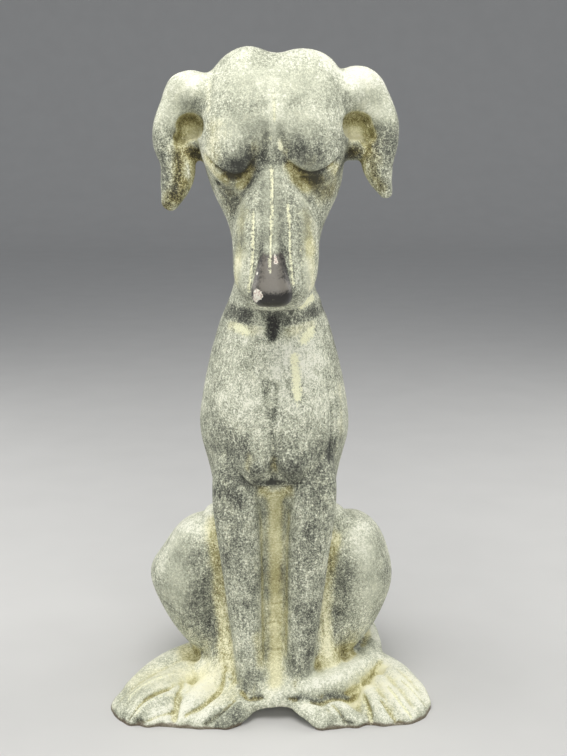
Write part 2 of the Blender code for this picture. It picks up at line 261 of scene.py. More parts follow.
TAIL_BED = (
    (22, -50, 4.5, 10, 7.5),
    (40, -44, 4.5, 12, 7.5),
    (53, -29, 5, 13, 8.5),
    (56, 4, 6, 10, 9),
)
# Feet, deep axis upright: the mound of each foot and then its toes.
HIND_FOOT = {
    RIGHT: (
        (38, 4, 6, 12, 11),
        (54, -16, 7, 15, 13),
        (68, -32, 6.5, 14, 12),
        (79, -45, 4, 12, 9),
    ),
    LEFT: (
        (40, 4, 6, 12, 11),
        (57, -18, 6.5, 14, 12),
        (70, -32, 6, 13, 11),
        (79, -43, 4, 10, 8.5),
    ),
}
FORE_FOOT = (
    (13, -52, 8, 9, 10),
    (24, -56, 5, 11, 9),
    (36, -60, 3, 11, 7),
)
TOES = {
    RIGHT: (
        ((52, -34, 9, 11, 10), (66, -48, 8, 10, 9.5), (78, -58, 6, 8.5, 8), (86, -63, 2.5, 7, 5)),
        ((52, -52, 7, 6, 7.5), (64, -62, 6, 6, 7), (75, -68, 4, 5.5, 6), (81, -71, 1.5, 4.5, 4)),
        ((54, -61, 4, 6, 6), (64, -69, 3, 5.5, 5), (72, -73, 1, 4.5, 3.6)),
        ((32, -40, 9, 9, 9), (42, -56, 7, 9, 8.5), (49, -67, 4.5, 7, 6.5), (53, -73, 1, 5.5, 4.5)),
        ((24, -58, 6, 6, 7), (34, -68, 4.5, 6, 6.5), (42, -74.5, 1.5, 5, 5)),
        ((14, -60, 6, 7, 7), (21, -68.5, 5, 7.5, 7), (28, -74.5, 2.5, 6, 5.5)),
    ),
    LEFT: (
        ((12, -60, 6, 7, 7), (19, -69, 5, 8, 7), (27, -75.5, 2.5, 6.5, 5.5)),
        ((28, -61, 5, 7, 6.5), (38, -69, 4, 6.5, 6), (46, -74, 1.5, 5.5, 4.5)),
        ((54, -54, 6, 6, 8), (58, -65, 4.5, 6, 6.5), (62, -73, 1.5, 5, 4.2)),
        ((61, -47, 8, 6, 9), (68, -60, 6, 6, 7.5), (75, -70, 2, 5, 5)),
        ((68, -40, 9, 6, 9), (76, -54, 7, 6, 7.5), (82, -64, 2.5, 5, 5.5)),
        ((74, -34, 8, 7, 8), (82, -46, 5.5, 6.5, 7), (86, -55, 2.5, 5, 5.5)),
    ),
}
MUZZLE_FULLNESS, LEG_FULLNESS, NOSE_FULLNESS, EAR_FULLNESS = 0.8, 0.85, 0.8, 0.85
# Rounded masses: centre and half sizes.
CHEST_LOBE = ((9.5, -46.5, 157), (15.5, 17.5, 25))
EAR_WEB = ((43, -33, 331), (14, 9, 17))
EAR_ROOT = ((37, -46, 346), (15, 14.5, 11))
EAR_LEDGE = ((41.5, -41.5, 318), (8.8, 9.5, 6.2))
HEEL = {
    RIGHT: ((36, -36, 11), (14, 12, 12)),
    LEFT: ((36, -32, 10), (14, 12, 12)),
}
EAR_CUP = {
    RIGHT: ((43.5, -60, 329.5), (8.2, 18, 7.8)),
    LEFT: ((43.5, -60, 330), (9, 18, 8.2)),
}
# The collar: centre, half sizes, half height, lean about X and Y in degrees.
COLLAR = ((0.5, -19.5, 231.6), (25.9, 34.9), 3.9, (5.0, -1.5, 0.0))
# The rings of the collar's cut: level in half heights, growth of its half sizes.
COLLAR_RINGS = ((-1, -3), (-1, 1.0), (0, 0.7), (1, -0.6), (1, -4))
# The rim of the base on the ground, from the front round by +X: x, y.
BASE_RIM = (
    (0, -69), (9, -69), (17, -72), (24, -78), (32, -80), (40, -78), (48, -75),
    (65, -76), (79, -73), (87, -65), (91, -52), (87, -38), (77, -24), (62, -8),
    (58, 16), (51, 42), (36, 62), (14, 73), (-14, 73), (-36, 62), (-51, 42),
    (-56, 16), (-60, -6), (-78, -20), (-91, -36), (-96, -50), (-94, -59),
    (-89, -68), (-82, -73), (-62, -76), (-48, -78), (-33, -79), (-23, -76),
    (-16, -71), (-8, -69),
)
BASE_LEVELS = ((-6, 1.0), (0.8, 1.0), (2.6, 0.99), (4, 0.965))  # height, scale
ARCH_HALF_WIDTH, ARCH_HEIGHT, ARCH_CENTRE, ARCH_FULLNESS = 21.0, 8.0, 2.0, 1.35
ARCH_FRONT, ARCH_BACK = -100.0, -30.0

# Ways of looking at the form: from the front (x, z) and down on the feet (x, y).
FRONT, TOP = "front", "top"
FOOT_CEILING = 26.0  # marks on the feet are laid on from this height
RIM_HEIGHT, EAR_DEPTH = 3.0, -45.0  # where a mark that runs off an edge goes on

# Tool marks: half width, depth (a cut is negative), chalk left in it, points.
MUZZLE_MARKS = (
    (1.1, -1, 0.8, (-1, 310), (-1, 299), (-1, 289), (-2, 262)),
    (0.9, -0.6, 0.74, (-2, 264), (-2, 257)),
    (1.15, -0.9, 0.78, (-10.5, 288), (-10.5, 279), (-11, 262), (-13, 246)),
    (1.05, -0.9, 0.76, (7, 292), (8, 279), (8.5, 262), (10, 250)),
    (1.2, -0.5, 0.3, (12, 288), (13.5, 270), (14.5, 252)),
    (1, -0.35, 0.2, (-16, 284), (-17, 268), (-18, 254)),
    (2.6, -1, 0, (-8, 311), (-12, 303), (-16, 296), (-20, 289)),
    (2.6, -1, 0, (7, 311), (11, 304), (15, 297), (20, 290)),
)
EYE_MARKS = (
    (3.2, -1.8, 0.3, (-15.5, 302.5)),
    (3.2, -1.8, 0.3, (14.5, 301)),
    (1.7, -1.6, 0, (-29, 301)),
    (2.8, -1.4, 0, (-24, 298), (-19, 292)),
    (2.6, -1, 0, (20, 299), (25, 292)),
    (0.9, 0.8, 0.5, (-26, 304), (-21, 301.4), (-16, 302.5)),
    (1, -0.9, 0, (-25, 306), (-20, 303.4), (-15.5, 304)),
    (0.9, -0.7, 0, (13, 305), (19, 303.6), (26, 306)),
    (1.2, 0.8, 0.2, (33, 311), (29, 302), (22, 300)),
)
BROW_MARKS = (
    (5.5, 1.6, 0, (-51, 353)),
    (2.4, -1.5, 0.2, (-3, 328), (-4.5, 319), (-7, 311)),
    (2.4, -1.3, 0.2, (3.5, 328), (6, 319), (7, 311)),
    (2.2, 1, 0.2, (-1, 330), (-1, 318), (0, 310)),
    (1.4, 0.9, 0.9, (2.5, 321), (4.5, 317.5)),
    (1.1, 0.8, 0.9, (-1.5, 323.5)),
    (1, -0.6, 0.6, (0, 347), (0.4, 331)),
    (8, -1, 0, (0, 357), (0, 344)),
    (9, 1.2, 0, (-20, 318)),
    (9, 1.2, 0, (20, 318)),
    (2.4, -0.4, 0.2, (-33, 355), (-32, 347), (-33, 337)),
    (2.4, -0.3, 0, (31.5, 355), (33, 347), (32, 339)),
)
EAR_MARKS = (
    (1.5, 0.7, 0.4, (-46, 322), (-39, 322.5)),
    (2.8, -2.4, 0, (-42, 316.5), (-40, 315.5)),
    (4, -2.8, 0, (-50, 319), (-50, 304), (-53, 295)),
    (1.6, 0.9, 0.3, (-53, 324), (-53, 312), (-54, 300), (-58, 289)),
    (3.6, -1.8, 0, (-55.5, 290.5), (-58, 286.5)),
    (1.3, -1, 0, (-57.5, 319.5)),
    (1.5, 0.7, 0.4, (37.5, 322.5), (43, 322), (49, 323.5)),
    (2.8, -2.4, 0, (42, 316.5), (40, 315.5)),
    (4.4, -1.1, 0, (51.5, 316), (52.5, 306), (56, 298)),
    (1.4, 0.8, 0.4, (49, 332), (52, 318), (55.5, 306), (59.5, 297)),
    (3.2, -1.5, 0, (58, 298)),
)
CHEST_MARKS = (
    (1.6, -0.8, 0, (-4, 191), (-4.5, 184), (-3, 176)),
    (1.7, -1.1, 0, (0, 196), (1.5, 188), (0.5, 180), (-1, 172)),
    (1.4, 0.6, 0.4, (-1.5, 184), (-2, 181)),
    (1.6, -0.6, 0.3, (-1, 170), (-0.5, 158), (0, 145)),
    (3.4, -1, 0.95, (10.4, 211), (11.8, 197), (13, 182)),
    (10, 1.2, 0, (-23, 182)),
    (10, 1.2, 0, (23, 180)),
    (6.5, 3.2, 0, (-10, 148)),
    (6.5, 3.2, 0, (9, 148)),
    (2.2, -2.2, 0, (-0.5, 151), (-0.5, 139), (0, 134)),
    (5, -0.5, 0, (-31, 156), (-24, 148), (-19, 139)),
    (5, -0.5, 0, (31, 154), (24, 147), (18, 138)),
    (1.2, 0.8, 0.3, (33, 193), (36, 172), (35, 148)),
    (1.4, -0.9, 0, (30, 190), (32, 170), (31, 146)),
    (1.1, 0.6, 0.2, (27, 182), (28.5, 166), (27, 150)),
    (1.3, -0.8, 0, (21, 179)),
    (3.6, -0.9, 1, (22.5, 222.5), (18.5, 218.5), (13.5, 214.5)),
    (2.8, -0.3, 1, (12, 233), (18.5, 236.2), (22.5, 237.5)),
    (3.2, -0.6, 1, (-23, 222.5), (-17, 221.5), (-12.5, 219.5)),
)
LEG_MARKS = (
    (6, 0.7, 0, (-20, 112), (-18, 70), (-13, 30)),
    (6, 0.7, 0, (21, 112), (18, 70), (14, 30)),
    (0.7, -0.6, 0, (-4.5, 62), (0, 61), (4, 62.5)),
    (0.6, -0.5, 0, (-4.5, 49), (0, 50), (4, 49)),
    (0.7, -0.6, 0, (-4.5, 35), (0, 34), (4, 35)),
    (1.6, -1.4, 0, (-20, 14), (-13, 11.5), (-6, 13)),
    (1.6, -1.4, 0, (7, 13), (13, 12)),
)
FOOT_MARKS = (
    (1.2, -2, 0, (-60, -56), (-70, -62), (-79, -70), (-85, -76)),
    (1.3, -1.4, 0, (-56, -70), (-66, -74), (-78, -77)),
    (2, -1.8, 0.4, (-53, -50), (-55, -60), (-56, -68), (-57, -78)),
    (1.2, -1.9, 0, (-27, -47), (-32, -58), (-40, -68), (-51, -75)),
    (1.4, -1.4, 0, (-22, -66), (-29, -73), (-40, -79)),
    (1.1, 0.8, 0.7, (-58, -46), (-72, -54), (-84, -64)),
    (1, 0.7, 0.6, (-57, -62), (-68, -66), (-80, -75)),
    (1.3, -1.8, 0.3, (32, -68), (39, -77), (45, -82)),
    (1.7, -1.8, 0.5, (50, -58), (53, -68), (55, -78)),
    (1.3, -1.4, 0.3, (60, -64), (66, -72), (72, -79)),
    (1.3, -1.4, 0.8, (65, -56), (71, -66), (78, -74)),
    (1.3, -1.4, 0.3, (73, -50), (81, -58), (89, -65)),
    (1.4, -1.6, 0, (20, -69.8), (27, -67.5), (37.5, -62.5), (48.5, -53.5), (58, -41), (64, -29)),
    (1.6, -2, 0, (21, -50), (28, -47.5), (38.5, -38.5), (46, -29)),
)
FACE_MARKS = MUZZLE_MARKS + EYE_MARKS + BROW_MARKS + EAR_MARKS
MARKS = ((FRONT, FACE_MARKS + CHEST_MARKS + LEG_MARKS), (TOP, FOOT_MARKS))
# Folds seen from the front hang over the left of their way: lip and its reach, cut
# and its reach, points.
FOLDS = (
    (1.5, 4.5, 2, 2, (-34, 315.5), (-29, 310.5), (-21, 306.3), (-15, 307.2), (-10.5, 313)),
    (1.4, 4.5, 1.8, 2, (7, 312.5), (14, 308.5), (20, 307.3), (27, 310), (34, 315.5)),
    (0.8, 4, 1.7, 2.6, (-19, 143), (-14, 137), (-8, 134.5), (0, 134)),
    (0.8, 4, 1.7, 2.6, (0, 134), (7, 134.5), (12, 136.5), (17, 143)),
    (0.8, 2.5, 1.2, 1.4, (-21, 244), (-13, 239.5), (0, 238.6), (11, 240.5), (21, 245.5)),
)

# Patches of tone, some of them painted shade or painted highlight as noted: reach, paler (+) or
# darker (-), yellow, points.
FRONT_PATCHES = (
    # brows, eyes and cheeks; the darker patches along and under the brow folds, in the eye hollows
    # and on the cheeks are painted shade
    (1.3, -0.24, 0.1, (-33, 313.5), (-29, 310), (-21, 306.5), (-15.5, 307.5), (-11.5, 312)),
    (1.4, -0.12, 0.1, (8, 311.5), (14, 308), (20, 307), (27, 309.5), (32, 313.5)),
    (5.5, -0.42, -0.3, (-12.5, 313), (-17.5, 310.5)),
    (4, -0.14, 0, (-21, 309.5), (-25, 310.5)),
    (8, -0.04, 0, (-22, 320), (-12, 321)),
    (8, -0.04, 0, (22, 320), (14, 321)),
    (4, -0.14, 0, (-26, 309), (-30, 312)),
    (6, -0.22, 0, (15, 311), (21, 310.5)),
    (7, -0.12, 0.15, (12, 318), (16, 316)),
    (7, 0.1, 0.55, (-31, 328), (-31, 316)),
    (3, 0.06, 0.95, (-12, 309), (-15.5, 303)),
    (2.6, 0.26, 1.2, (-14.5, 304), (-17, 300)),
    (3.2, -0.5, 0.5, (-18, 305.5), (-24, 305)),
    (3.2, 0.08, 1, (8, 310), (11.5, 305)),
    (2.8, 0.3, 1.2, (12.5, 304), (16, 299)),
    (4.5, -0.52, 0.3, (14, 305), (20, 303.5)),
    (3.4, 0.18, 0.8, (-35, 313), (-30, 306), (-26, 303)),
    (3, 0.2, 0.7, (29, 310), (32, 308)),
    (6.5, -0.2, 0.35, (-25, 298), (-22, 289)),
    (7, -0.28, 0.45, (22, 301), (27, 296)),
    (5, -0.12, 0.3, (33, 308), (31, 297)),
    (2, 0.3, 0.5, (3, 321), (5.5, 317)),
    (3.4, 0.08, 0.6, (-10, 318), (-11, 313)),
    (2.2, -0.4, 0.1, (-29, 301)),
    # forehead
    (16, -0.06, 0, (-16, 352), (18, 352)),
    (2.4, 0.14, 0.2, (-0.5, 352), (0, 334)),
    (10, -0.04, 0, (-12, 326), (-6, 332)),
    (10, -0.03, 0, (12, 328), (18, 334)),
    (2.2, 0.14, 0.3, (-33, 352), (-33, 338)),
    # muzzle
    (3.6, -0.2, -0.4, (-5, 300), (-6, 270)),
    (3.6, -0.23, -0.4, (3, 302), (4, 270)),
    (2, -0.2, 0, (8, 303), (9.5, 290), (9, 282)),
    (5, -0.1, 0.35, (-16, 286), (-18, 268)),
    (4, 0.28, 0.6, (-19, 262), (-20, 246)),
    (4, 0.2, 0.2, (-15, 259), (-15, 246)),
    (5, -0.15, 0.4, (17, 286), (19, 268)),
    (6, -0.14, 0, (14, 288), (15, 268)),
    (4, 0.26, 0.6, (18.5, 270), (20, 246)),
    # painted shade on the nose's underside and darker sides, and a painted highlight down its
    # middle
    (4.5, -0.8, 0, (-9, 243.5), (7, 243.5)),
    (2.8, 0.35, 0, (-4, 250.5), (3.5, 250.5)),
    (3, -0.22, 0, (-6, 268), (-8, 254)),
    (3, -0.26, 0, (4, 268), (6.5, 255)),
    (3.6, 0.16, 0, (-2, 260), (-2, 253)),
    # collar edges
    (4, 0.1, 0.5, (-24, 223), (-12, 222)),
    (4, 0.05, 0.5, (8, 221), (20, 224)),
    (4, 0.24, 0.2, (-9, 231), (-7, 225)),
    (4, -0.3, -0.2, (-24, 231), (-15, 230)),
    (2.6, -0.24, -0.2, (6, 228), (14, 229), (24, 231)),
    # the dark tab under the chin: dark paint and painted shadow of the muzzle
    (3.4, -0.75, 0, (-1, 227), (-1, 219)),
    # chest
    (5, 0.16, 0.1, (-30, 182)),
    (15, 0.2, 0, (-14, 206), (14, 206)),
    (10, 0.12, 0, (26, 200), (30, 178)),
    (12, 0.16, 0, (-24, 184), (24, 178)),
    (4.2, -0.32, -0.2, (-3, 192), (-1, 176)),
    (6, -0.16, 0, (-24, 165), (-12, 152)),
    (6, -0.18, 0, (24, 160), (10, 150)),
    (8, -0.22, 0, (-12, 146), (12, 146)),
    # painted shade under and between the chest lobes
    (2.4, -0.34, 0, (-11, 136.5), (10, 136.5)),
    (2, -0.45, 0, (-3, 137.5), (0, 136), (3, 137.5)),
    (4, 0.16, 0.4, (37, 185), (38, 160)),
    (7, -0.12, 0, (30, 160), (28, 140)),
    (4, 0.06, 0.9, (-7, 131), (0, 128), (8, 131)),
    (2.2, 0.16, 0.6, (0, 152), (0.5, 145)),
    (2.6, 0.12, 0.5, (-14, 154), (-15, 147)),
    (4, -0.2, 0, (-9, 142), (-9, 139)),
    (4, -0.2, 0, (9, 142), (9, 139)),
    (9, -0.22, 0, (-31, 152), (-24, 134)),
    (9, -0.34, 0, (32, 154), (25, 136)),
    # legs, the web between them and the sheltered flanks
    (4.6, 0.04, 1.1, (0.5, 124), (0.5, 90), (0.5, 20)),
    (5.5, 0.24, 1, (-35, 106), (-32, 80), (-31, 58), (-29, 40), (-27, 26)),
    (5, 0.34, 0.9, (33, 100), (31, 80), (29.5, 58), (30, 40), (31, 28)),
    (9, -0.1, 0, (-20, 125), (-20, 90)),
    (9, -0.04, 0, (22, 125), (20, 90)),
    (6, 0.1, 0, (-16, 60), (-12, 24)),
    # painted shadow where the leg ends meet the feet
    (2.4, -0.2, 0.1, (-15, 12.5), (-7, 13)),
    (2.4, -0.18, 0.1, (8, 13), (13, 12.5)),
    (6, -0.1, 0, (14, 60), (12, 24)),
    (4, 0.14, 0.7, (-10, 46), (-8, 30)),
    # thighs
    (9, -0.24, -0.2, (-44, 86), (-41, 50)),
    (9, -0.1, 0, (-54, 92), (-60, 72)),
    (8, -0.2, -0.2, (37, 84), (38, 56)),
    (10, 0.12, 0, (50, 92), (58, 66)),
    (9, -0.02, 0.2, (-50, 42), (-34, 30)),
    (7, -0.08, 0.4, (46, 36), (36, 30)),
    # ears
    # painted light from above on the ear tops
    (9, 0.16, 0.1, (-42, 351), (-52, 344)),
    (9, 0.18, 0.1, (44, 352), (54, 345)),
    (5, -0.14, 0, (-59, 318), (-60, 300)),
    (5, -0.2, 0, (-47, 338), (-41, 341)),
    (4, -0.16, 0, (52, 343), (56, 347)),
    (5, 0.26, 0.1, (50, 337), (60, 335)),
    # the darker yellow patches from here on paint shade over the yellow patina: on the inner faces
    # of the ear flaps, in the cups and in the pockets below the ledges
    (5, -0.16, 0.8, (-49, 316), (-50, 303)),
    (3, -0.35, 0.6, (-46.5, 300), (-50, 291)),
    (4.5, -0.46, 0.6, (-54, 294), (-57, 288)),
    (3.6, -0.7, 0.7, (-43, 317), (-41, 315.5)),
    (6, -0.22, 0, (58, 328), (61, 312)),
    (5, -0.26, 0.6, (51, 318), (52.5, 306), (56, 298)),
    (3.6, -0.6, 0.7, (43, 317), (41, 315.5)),
    (3.2, -0.24, 0.8, (-47, 334), (-42, 334)),
    (4, 0.3, 1, (-46, 326), (-40, 325)),
    (3.4, -0.12, 0.9, (40, 334), (46, 333)),
    (4.4, 0.5, 0.9, (38, 326), (44, 325)),
    # above the tail
    (4, -0.26, 0, (21, 36), (17, 27)),
    (4.5, -0.1, 1.1, (25, 26), (44, 27)),
)
FOOT_PATCHES = (
    (14, 0.05, 0.4, (-76, -48), (-50, -44)),
    (12, 0.16, 0.4, (-40, -50), (-30, -60)),
    (6, -0.34, -0.7, (-22, -74), (-34, -79)),
    (8, 0.22, 0.1, (-44, -74), (-66, -72)),
    (5, -0.25, -0.4, (-78, -76), (-84, -73)),
    (6, -0.22, -0.5, (26, -78), (44, -79)),
    (16, 0.02, 0.35, (60, -50), (74, -56)),
    (5, -0.15, -0.2, (84, -67)),
    (5, -0.34, -0.3, (52, -31), (57, -14)),
    (4.5, -0.08, -0.5, (20, -58.5), (33, -52.5), (44, -43), (53, -28)),
    # painted shade along the tail's lower side
    (2, -0.42, -0.2, (14, -67.5), (20, -68), (27, -65.5), (37, -60.5), (46, -54)),
    (3.2, 0.46, 0.8, (40, -63.5), (53, -51.5), (64, -36)),
    (2.4, -0.3, 1, (21, -50), (28, -47.5), (38.5, -38.5), (46, -29)),
)
PATCHES = ((FRONT, FRONT_PATCHES), (TOP, FOOT_PATCHES))
# Calm stretches, where the speckle is faint: reach, points.
FRONT_CALM = (
    (16, (-14, 352), (16, 350)),
    (8, (-1, 303), (-1, 272)),
    (11, (-44, 350), (-54, 336)),
    (11, (46, 350), (56, 338)),
    (7, (-43, 328), (-40, 324)),
    (7, (43, 328), (40, 324)),
    (9, (-17, 309), (-22, 301)),
    (9, (17, 309), (21, 301)),
    (6, (0.5, 124), (0.5, 20)),
    (12, (-56, 92), (-58, 64)),
    (12, (54, 92), (58, 64)),
    (12, (-17, 330), (16, 332)),
    (5, (-16, 290), (-18, 250)),
    (5, (15, 290), (18, 250)),
)
FOOT_CALM = (
    (6, (22, -58), (33, -52.5), (44, -43), (53, -28)),
    (12, (-76, -52), (-50, -50)),
    (12, (56, -54), (74, -56)),
)
CALM = ((FRONT, FRONT_CALM), (TOP, FOOT_CALM))
# Chips in the paint of the nose: radius, place.
NOSE_CHIPS = (
    (3.2, (-8.4, 246.5)),
    (2.2, (-9.8, 243.8)),
    (1.3, (1.2, 262.5)),
    (1, (0.6, 264.5)),
    (0.9, (-8.5, 257)),
)
CHIPS = ((FRONT, NOSE_CHIPS),)

# How the skins are made, in table millimetres: cells, and rounds of softening.
BODY_CELL, BODY_ROUNDS = 3.0, 10
LIMB_CELL, LIMB_ROUNDS = 2.0, 4
DETAIL_CELL, DETAIL_ROUNDS = 1.5, 1
SKIN_ROUNDS = 2
BALL_SEGMENTS, BALL_RINGS = 32, 20
# How far marks, folds, patches and chips reach, in their own widths.
MARK_REACH, FOLD_REACH, PATCH_REACH, CHIP_REACH = 3.0, 2.5, 2.5, 2.0
TINY = 1e-6
LIP_EDGE = 0.7  # how sharply a fold's lip turns into its cut
CHALK_WIDTH = 0.9  # the chalk left in a mark, as a share of the mark's width
# Small sand holes of the casting: how many, how they are strewn, and their sizes.
PITS, PIT_SEED, PIT_WIDTHS, PIT_DEPTHS = 90, 11, (0.7, 1.2), (0.25, 0.6)
LUMPS = ((0.6, 9.0), (0.4, 3.2))  # share of the height, size
SOLE_RISE = (0.2, 2.0)  # heights between which the tooling fades in above the ground
# Rays that measure how enclosed a place is: how many, their start, reach and turn
# from one place to the next, and how much less the farthest hit counts.
RAYS, RAY_START, RAY_REACH, RAY_TURN, RAY_FADE = 16, 0.4, 60.0, 0.7, 0.6
GOLDEN_TURN = math.pi * (3 - math.sqrt(5))
SHUT_ROUNDS, DIP_ROUNDS = 4, 8
# The collar's paint: its edge past the band's half height, and how far back it goes.
BAND_EDGE, BAND_BACK = (-0.4, 0.9), (-30, -20)
# The dark tab under the chin, dark paint and painted shadow of the muzzle: its length, slope of
# its sides, edge, front depths and top.
SHADED_TAB_DROP, SHADED_TAB_SLOPE, SHADED_TAB_EDGE, SHADED_TAB_FRONT, SHADED_TAB_TOP = 16.6, 2.0, 1.5, (44, 48), (2, 4)
NOSE_MARGIN, NOSE_BACK = 1.3, 3  # how softly the nose's paint ends, across and behind
CHIP_EDGE = (0.6, 1.2)  # where a chip's edge runs, as shares of its radius
# How the patina and the painted light follow the form: each share is followed by the limits of its
# rise. Faces turned up are painted paler, as lit from above, ridges get a painted highlight and
# small dips painted shade; shut places and the feet get the yellow patina of their hollows.
TOP_LIGHT_TONE, TOP_LIGHT = 0.24, (0.05, 0.9)
RIDGE_HIGHLIGHT_TONE, RIDGE_HIGHLIGHT = 0.1, (0.03, 0.2)
DIP_SHADE_TONE, DIP_SHADE = 0.2, (0.05, 0.35)
SHUT_OCHRE, SHUT = 1.1, (0.3, 0.62)
FOOT_OCHRE, FOOT_DIP_OCHRE, FOOT_DIP = 0.1, 0.6, (0.05, 0.3)
FOOT_LEVELS = (14, 30)  # heights between which the feet give way to the legs
FOOT_CALMING, PLACE_CALMING = 0.25, 0.6


def smooth_rows(rows, steps=STEPS):
    """Rows of a table with steps - 1 more between each two, on a Catmull-Rom curve."""
    made = []
    last = len(rows) - 1
    for i in range(last):
        before, start = rows[max(i - 1, 0)], rows[i]
        end, after = rows[i + 1], rows[min(i + 2, last)]
        for step in range(steps):
            t = step / steps
            row = []
            for a, b, c, d in zip(before, start, end, after):
                value = 2 * b + (c - a) * t + (2 * a - 5 * b + 4 * c - d) * t**2
                row.append(0.5 * (value + (3 * b - a - 3 * c + d) * t**3))
            made.append(row)
    return made + [list(rows[last])]


def mesh_object(name, mesh_maker):
    """A new object whose mesh is what mesh_maker puts into a bmesh, closed and facing out."""
    bm = bmesh.new()
    mesh_maker(bm)
    bmesh.ops.recalc_face_normals(bm, faces=bm.faces)
    mesh = bpy.data.meshes.new(name)
    bm.to_mesh(mesh)
    bm.free()
    obj = bpy.data.objects.new(name, mesh)
    bpy.context.scene.collection.objects.link(obj)
    return obj


def only(kind, items):
    """The items of one kind: vertices, edges or faces."""
    return [item for item in items if isinstance(item, kind)]


def move(bm, items, matrix):
    """Moves the vertices among the items."""
    bmesh.ops.transform(bm, matrix=matrix, verts=only(BMVert, items))


def loft(name, frames, fullness=1.0):
    """A closed skin over rings, each given by the matrix that places a unit circle.

    A fullness under 1 swells the circle towards a square with round corners.
    """

    def skin(bm):
        bmesh.ops.create_circle(bm, segments=RING_POINTS, radius=1.0)
        for vert in bm.verts:
            for axis in (0, 1):
                vert.co[axis] = math.copysign(abs(vert.co[axis]) ** fullness, vert.co[axis])
        move(bm, bm.verts, frames[0])
        rim = list(bm.edges)
        for before, after in zip(frames, frames[1:]):
            grown = bmesh.ops.extrude_edge_only(bm, edges=rim)["geom"]
            move(bm, grown, after @ before.inverted())
            rim = [edge for edge in only(BMEdge, grown) if len(edge.link_faces) == 1]
        bmesh.ops.holes_fill(bm, edges=bm.edges, sides=RING_POINTS)

    return mesh_object(name, skin)


def level_mass(name, table, side=LEFT, fullness=1.0):
    """A mass given by its level cuts."""
    frames = []
    for z, x, front, back, half_width in smooth_rows(table):
        centre = Vector((side * x, (front + back) / 2, z))
        size = Vector((half_width, (back - front) / 2, 1.0))
        frames.append(Matrix.LocRotScale(centre, None, size))
    return loft(name, frames, fullness)


def limb(name, table, side=LEFT, deep=Vector((0, 1, 0)), fullness=1.0):
    """A mass along a path, given by its cuts square to it, with rounded ends."""
    rows = smooth_rows(table)
    centres = [Vector((side * x, y, z)) for x, y, z, _, _ in rows]
    last = len(rows) - 1
    frames = []

    def add(i, shrink=1.0, push=0.0):
        along = (centres[min(i + 1, last)] - centres[max(i - 1, 0)]).normalized()
        across_axis = along.cross(deep).normalized()
        across, depth = rows[i][3:]
        turn = Matrix((across_axis, across_axis.cross(along), along)).transposed().to_4x4()
        place = Matrix.Translation(centres[i] + along * push * min(across, depth))
        frames.append(place @ turn @ Matrix.Diagonal((across * shrink, depth * shrink, 1, 1)))

    angles = [k / (CAP_RINGS + 1) * math.pi / 2 for k in range(1, CAP_RINGS + 1)]
    for angle in reversed(angles):
        add(0, math.cos(angle), -math.sin(angle))
    for i in range(last + 1):
        add(i)
    for angle in angles:
        add(last, math.cos(angle), math.sin(angle))
    return loft(name, frames, fullness)


def ball(name, centre, half_sizes, side=LEFT):
    """A rounded mass."""
    centre = Vector((side * centre[0], *centre[1:]))
    place = Matrix.LocRotScale(centre, None, Vector(half_sizes))

    def skin(bm):
        bmesh.ops.create_uvsphere(
            bm, u_segments=BALL_SEGMENTS, v_segments=BALL_RINGS, radius=1.0, matrix=place
        )

    return mesh_object(name, skin)


def base_plate(name):
    """The thin rim that joins the feet: one outline raised in bevelled steps."""
    corners = [Vector((x, y, 0)) for x, y in smooth_rows(BASE_RIM + BASE_RIM[:1], 3)[:-1]]
    middle = sum(corners, Vector()) / len(corners)
    frames = [
        Matrix.Translation(middle + height * UP) @ Matrix.Diagonal((scale, scale, 1, 1))
        for height, scale in BASE_LEVELS
    ]

    def skin(bm):
        faces = [bm.faces.new([bm.verts.new(frames[0] @ (p - middle)) for p in corners])]
        for before, after in zip(frames, frames[1:]):
            first = before is frames[0]
            grown = bmesh.ops.extrude_face_region(bm, geom=faces, use_keep_orig=first)["geom"]
            faces = only(BMFace, grown)
            move(bm, grown, after @ before.inverted())

    return mesh_object(name, skin)


def leaned(degrees):
    """A lean about X, Y and Z."""
    return Euler([math.radians(part) for part in degrees]).to_matrix()


def collar(name):
    """A low band round the neck, its edges let into the skin."""
    centre, half_sizes, half_height, lean = COLLAR
    place = Matrix.Translation(centre) @ leaned(lean).to_4x4()
    frames = []
    for level, grow in COLLAR_RINGS:
        size = [half + grow for half in half_sizes]
        lift = Matrix.Translation((0, 0, level * half_height))
        frames.append(place @ lift @ Matrix.Diagonal((*size, 1, 1)))
    return loft(name, frames)


def bake_modifiers(obj):
    """Replaces the object's mesh by the one that its modifiers make."""
    graph = bpy.context.evaluated_depsgraph_get()
    mesh = bpy.data.meshes.new_from_object(obj.evaluated_get(graph))
    obj.modifiers.clear()
    old = obj.data
    obj.data = mesh
    bpy.data.meshes.remove(old)
    return obj


def remove_pieces(pieces):
    """Clears away pieces that a fused skin or a cut has used up."""
    for piece in pieces:
        mesh = piece.data
        bpy.data.objects.remove(piece, do_unlink=True)
        bpy.data.meshes.remove(mesh)


def fuse(name, pieces, voxel, rounds):
    """One skin round all the pieces, with its creases softened."""

    def gather(bm):
        for piece in pieces:
            bm.from_mesh(piece.data)

    obj = mesh_object(name, gather)
    remove_pieces(pieces)
    remesh = obj.modifiers.new("Fuse", "REMESH")
    remesh.mode = "VOXEL"
    remesh.voxel_size = voxel
    smooth = obj.modifiers.new("Soften", "SMOOTH")
    smooth.factor = 0.5
    smooth.iterations = rounds
    return bake_modifiers(obj)


def cut(obj, cutters):
    """Takes the cutters, one after another, away from the object."""
    for cutter in cutters:
        step = obj.modifiers.new("Cut", "BOOLEAN")
        step.operation = "DIFFERENCE"
        step.solver = "EXACT"
        step.object = cutter
    bake_modifiers(obj)
    remove_pieces(cutters)
    return obj


def body_masses():
    """The trunk, head, web, haunches and brows, softened the most."""
    pieces = [level_mass("trunk", TRUNK), level_mass("head", HEAD), limb("web", WEB)]
    for side in (LEFT, RIGHT):
        pieces.append(level_mass("thigh", THIGH[side], side))
        pieces.append(level_mass("brow", BROW[side], side))
    return fuse("body", pieces, BODY_CELL, BODY_ROUNDS)


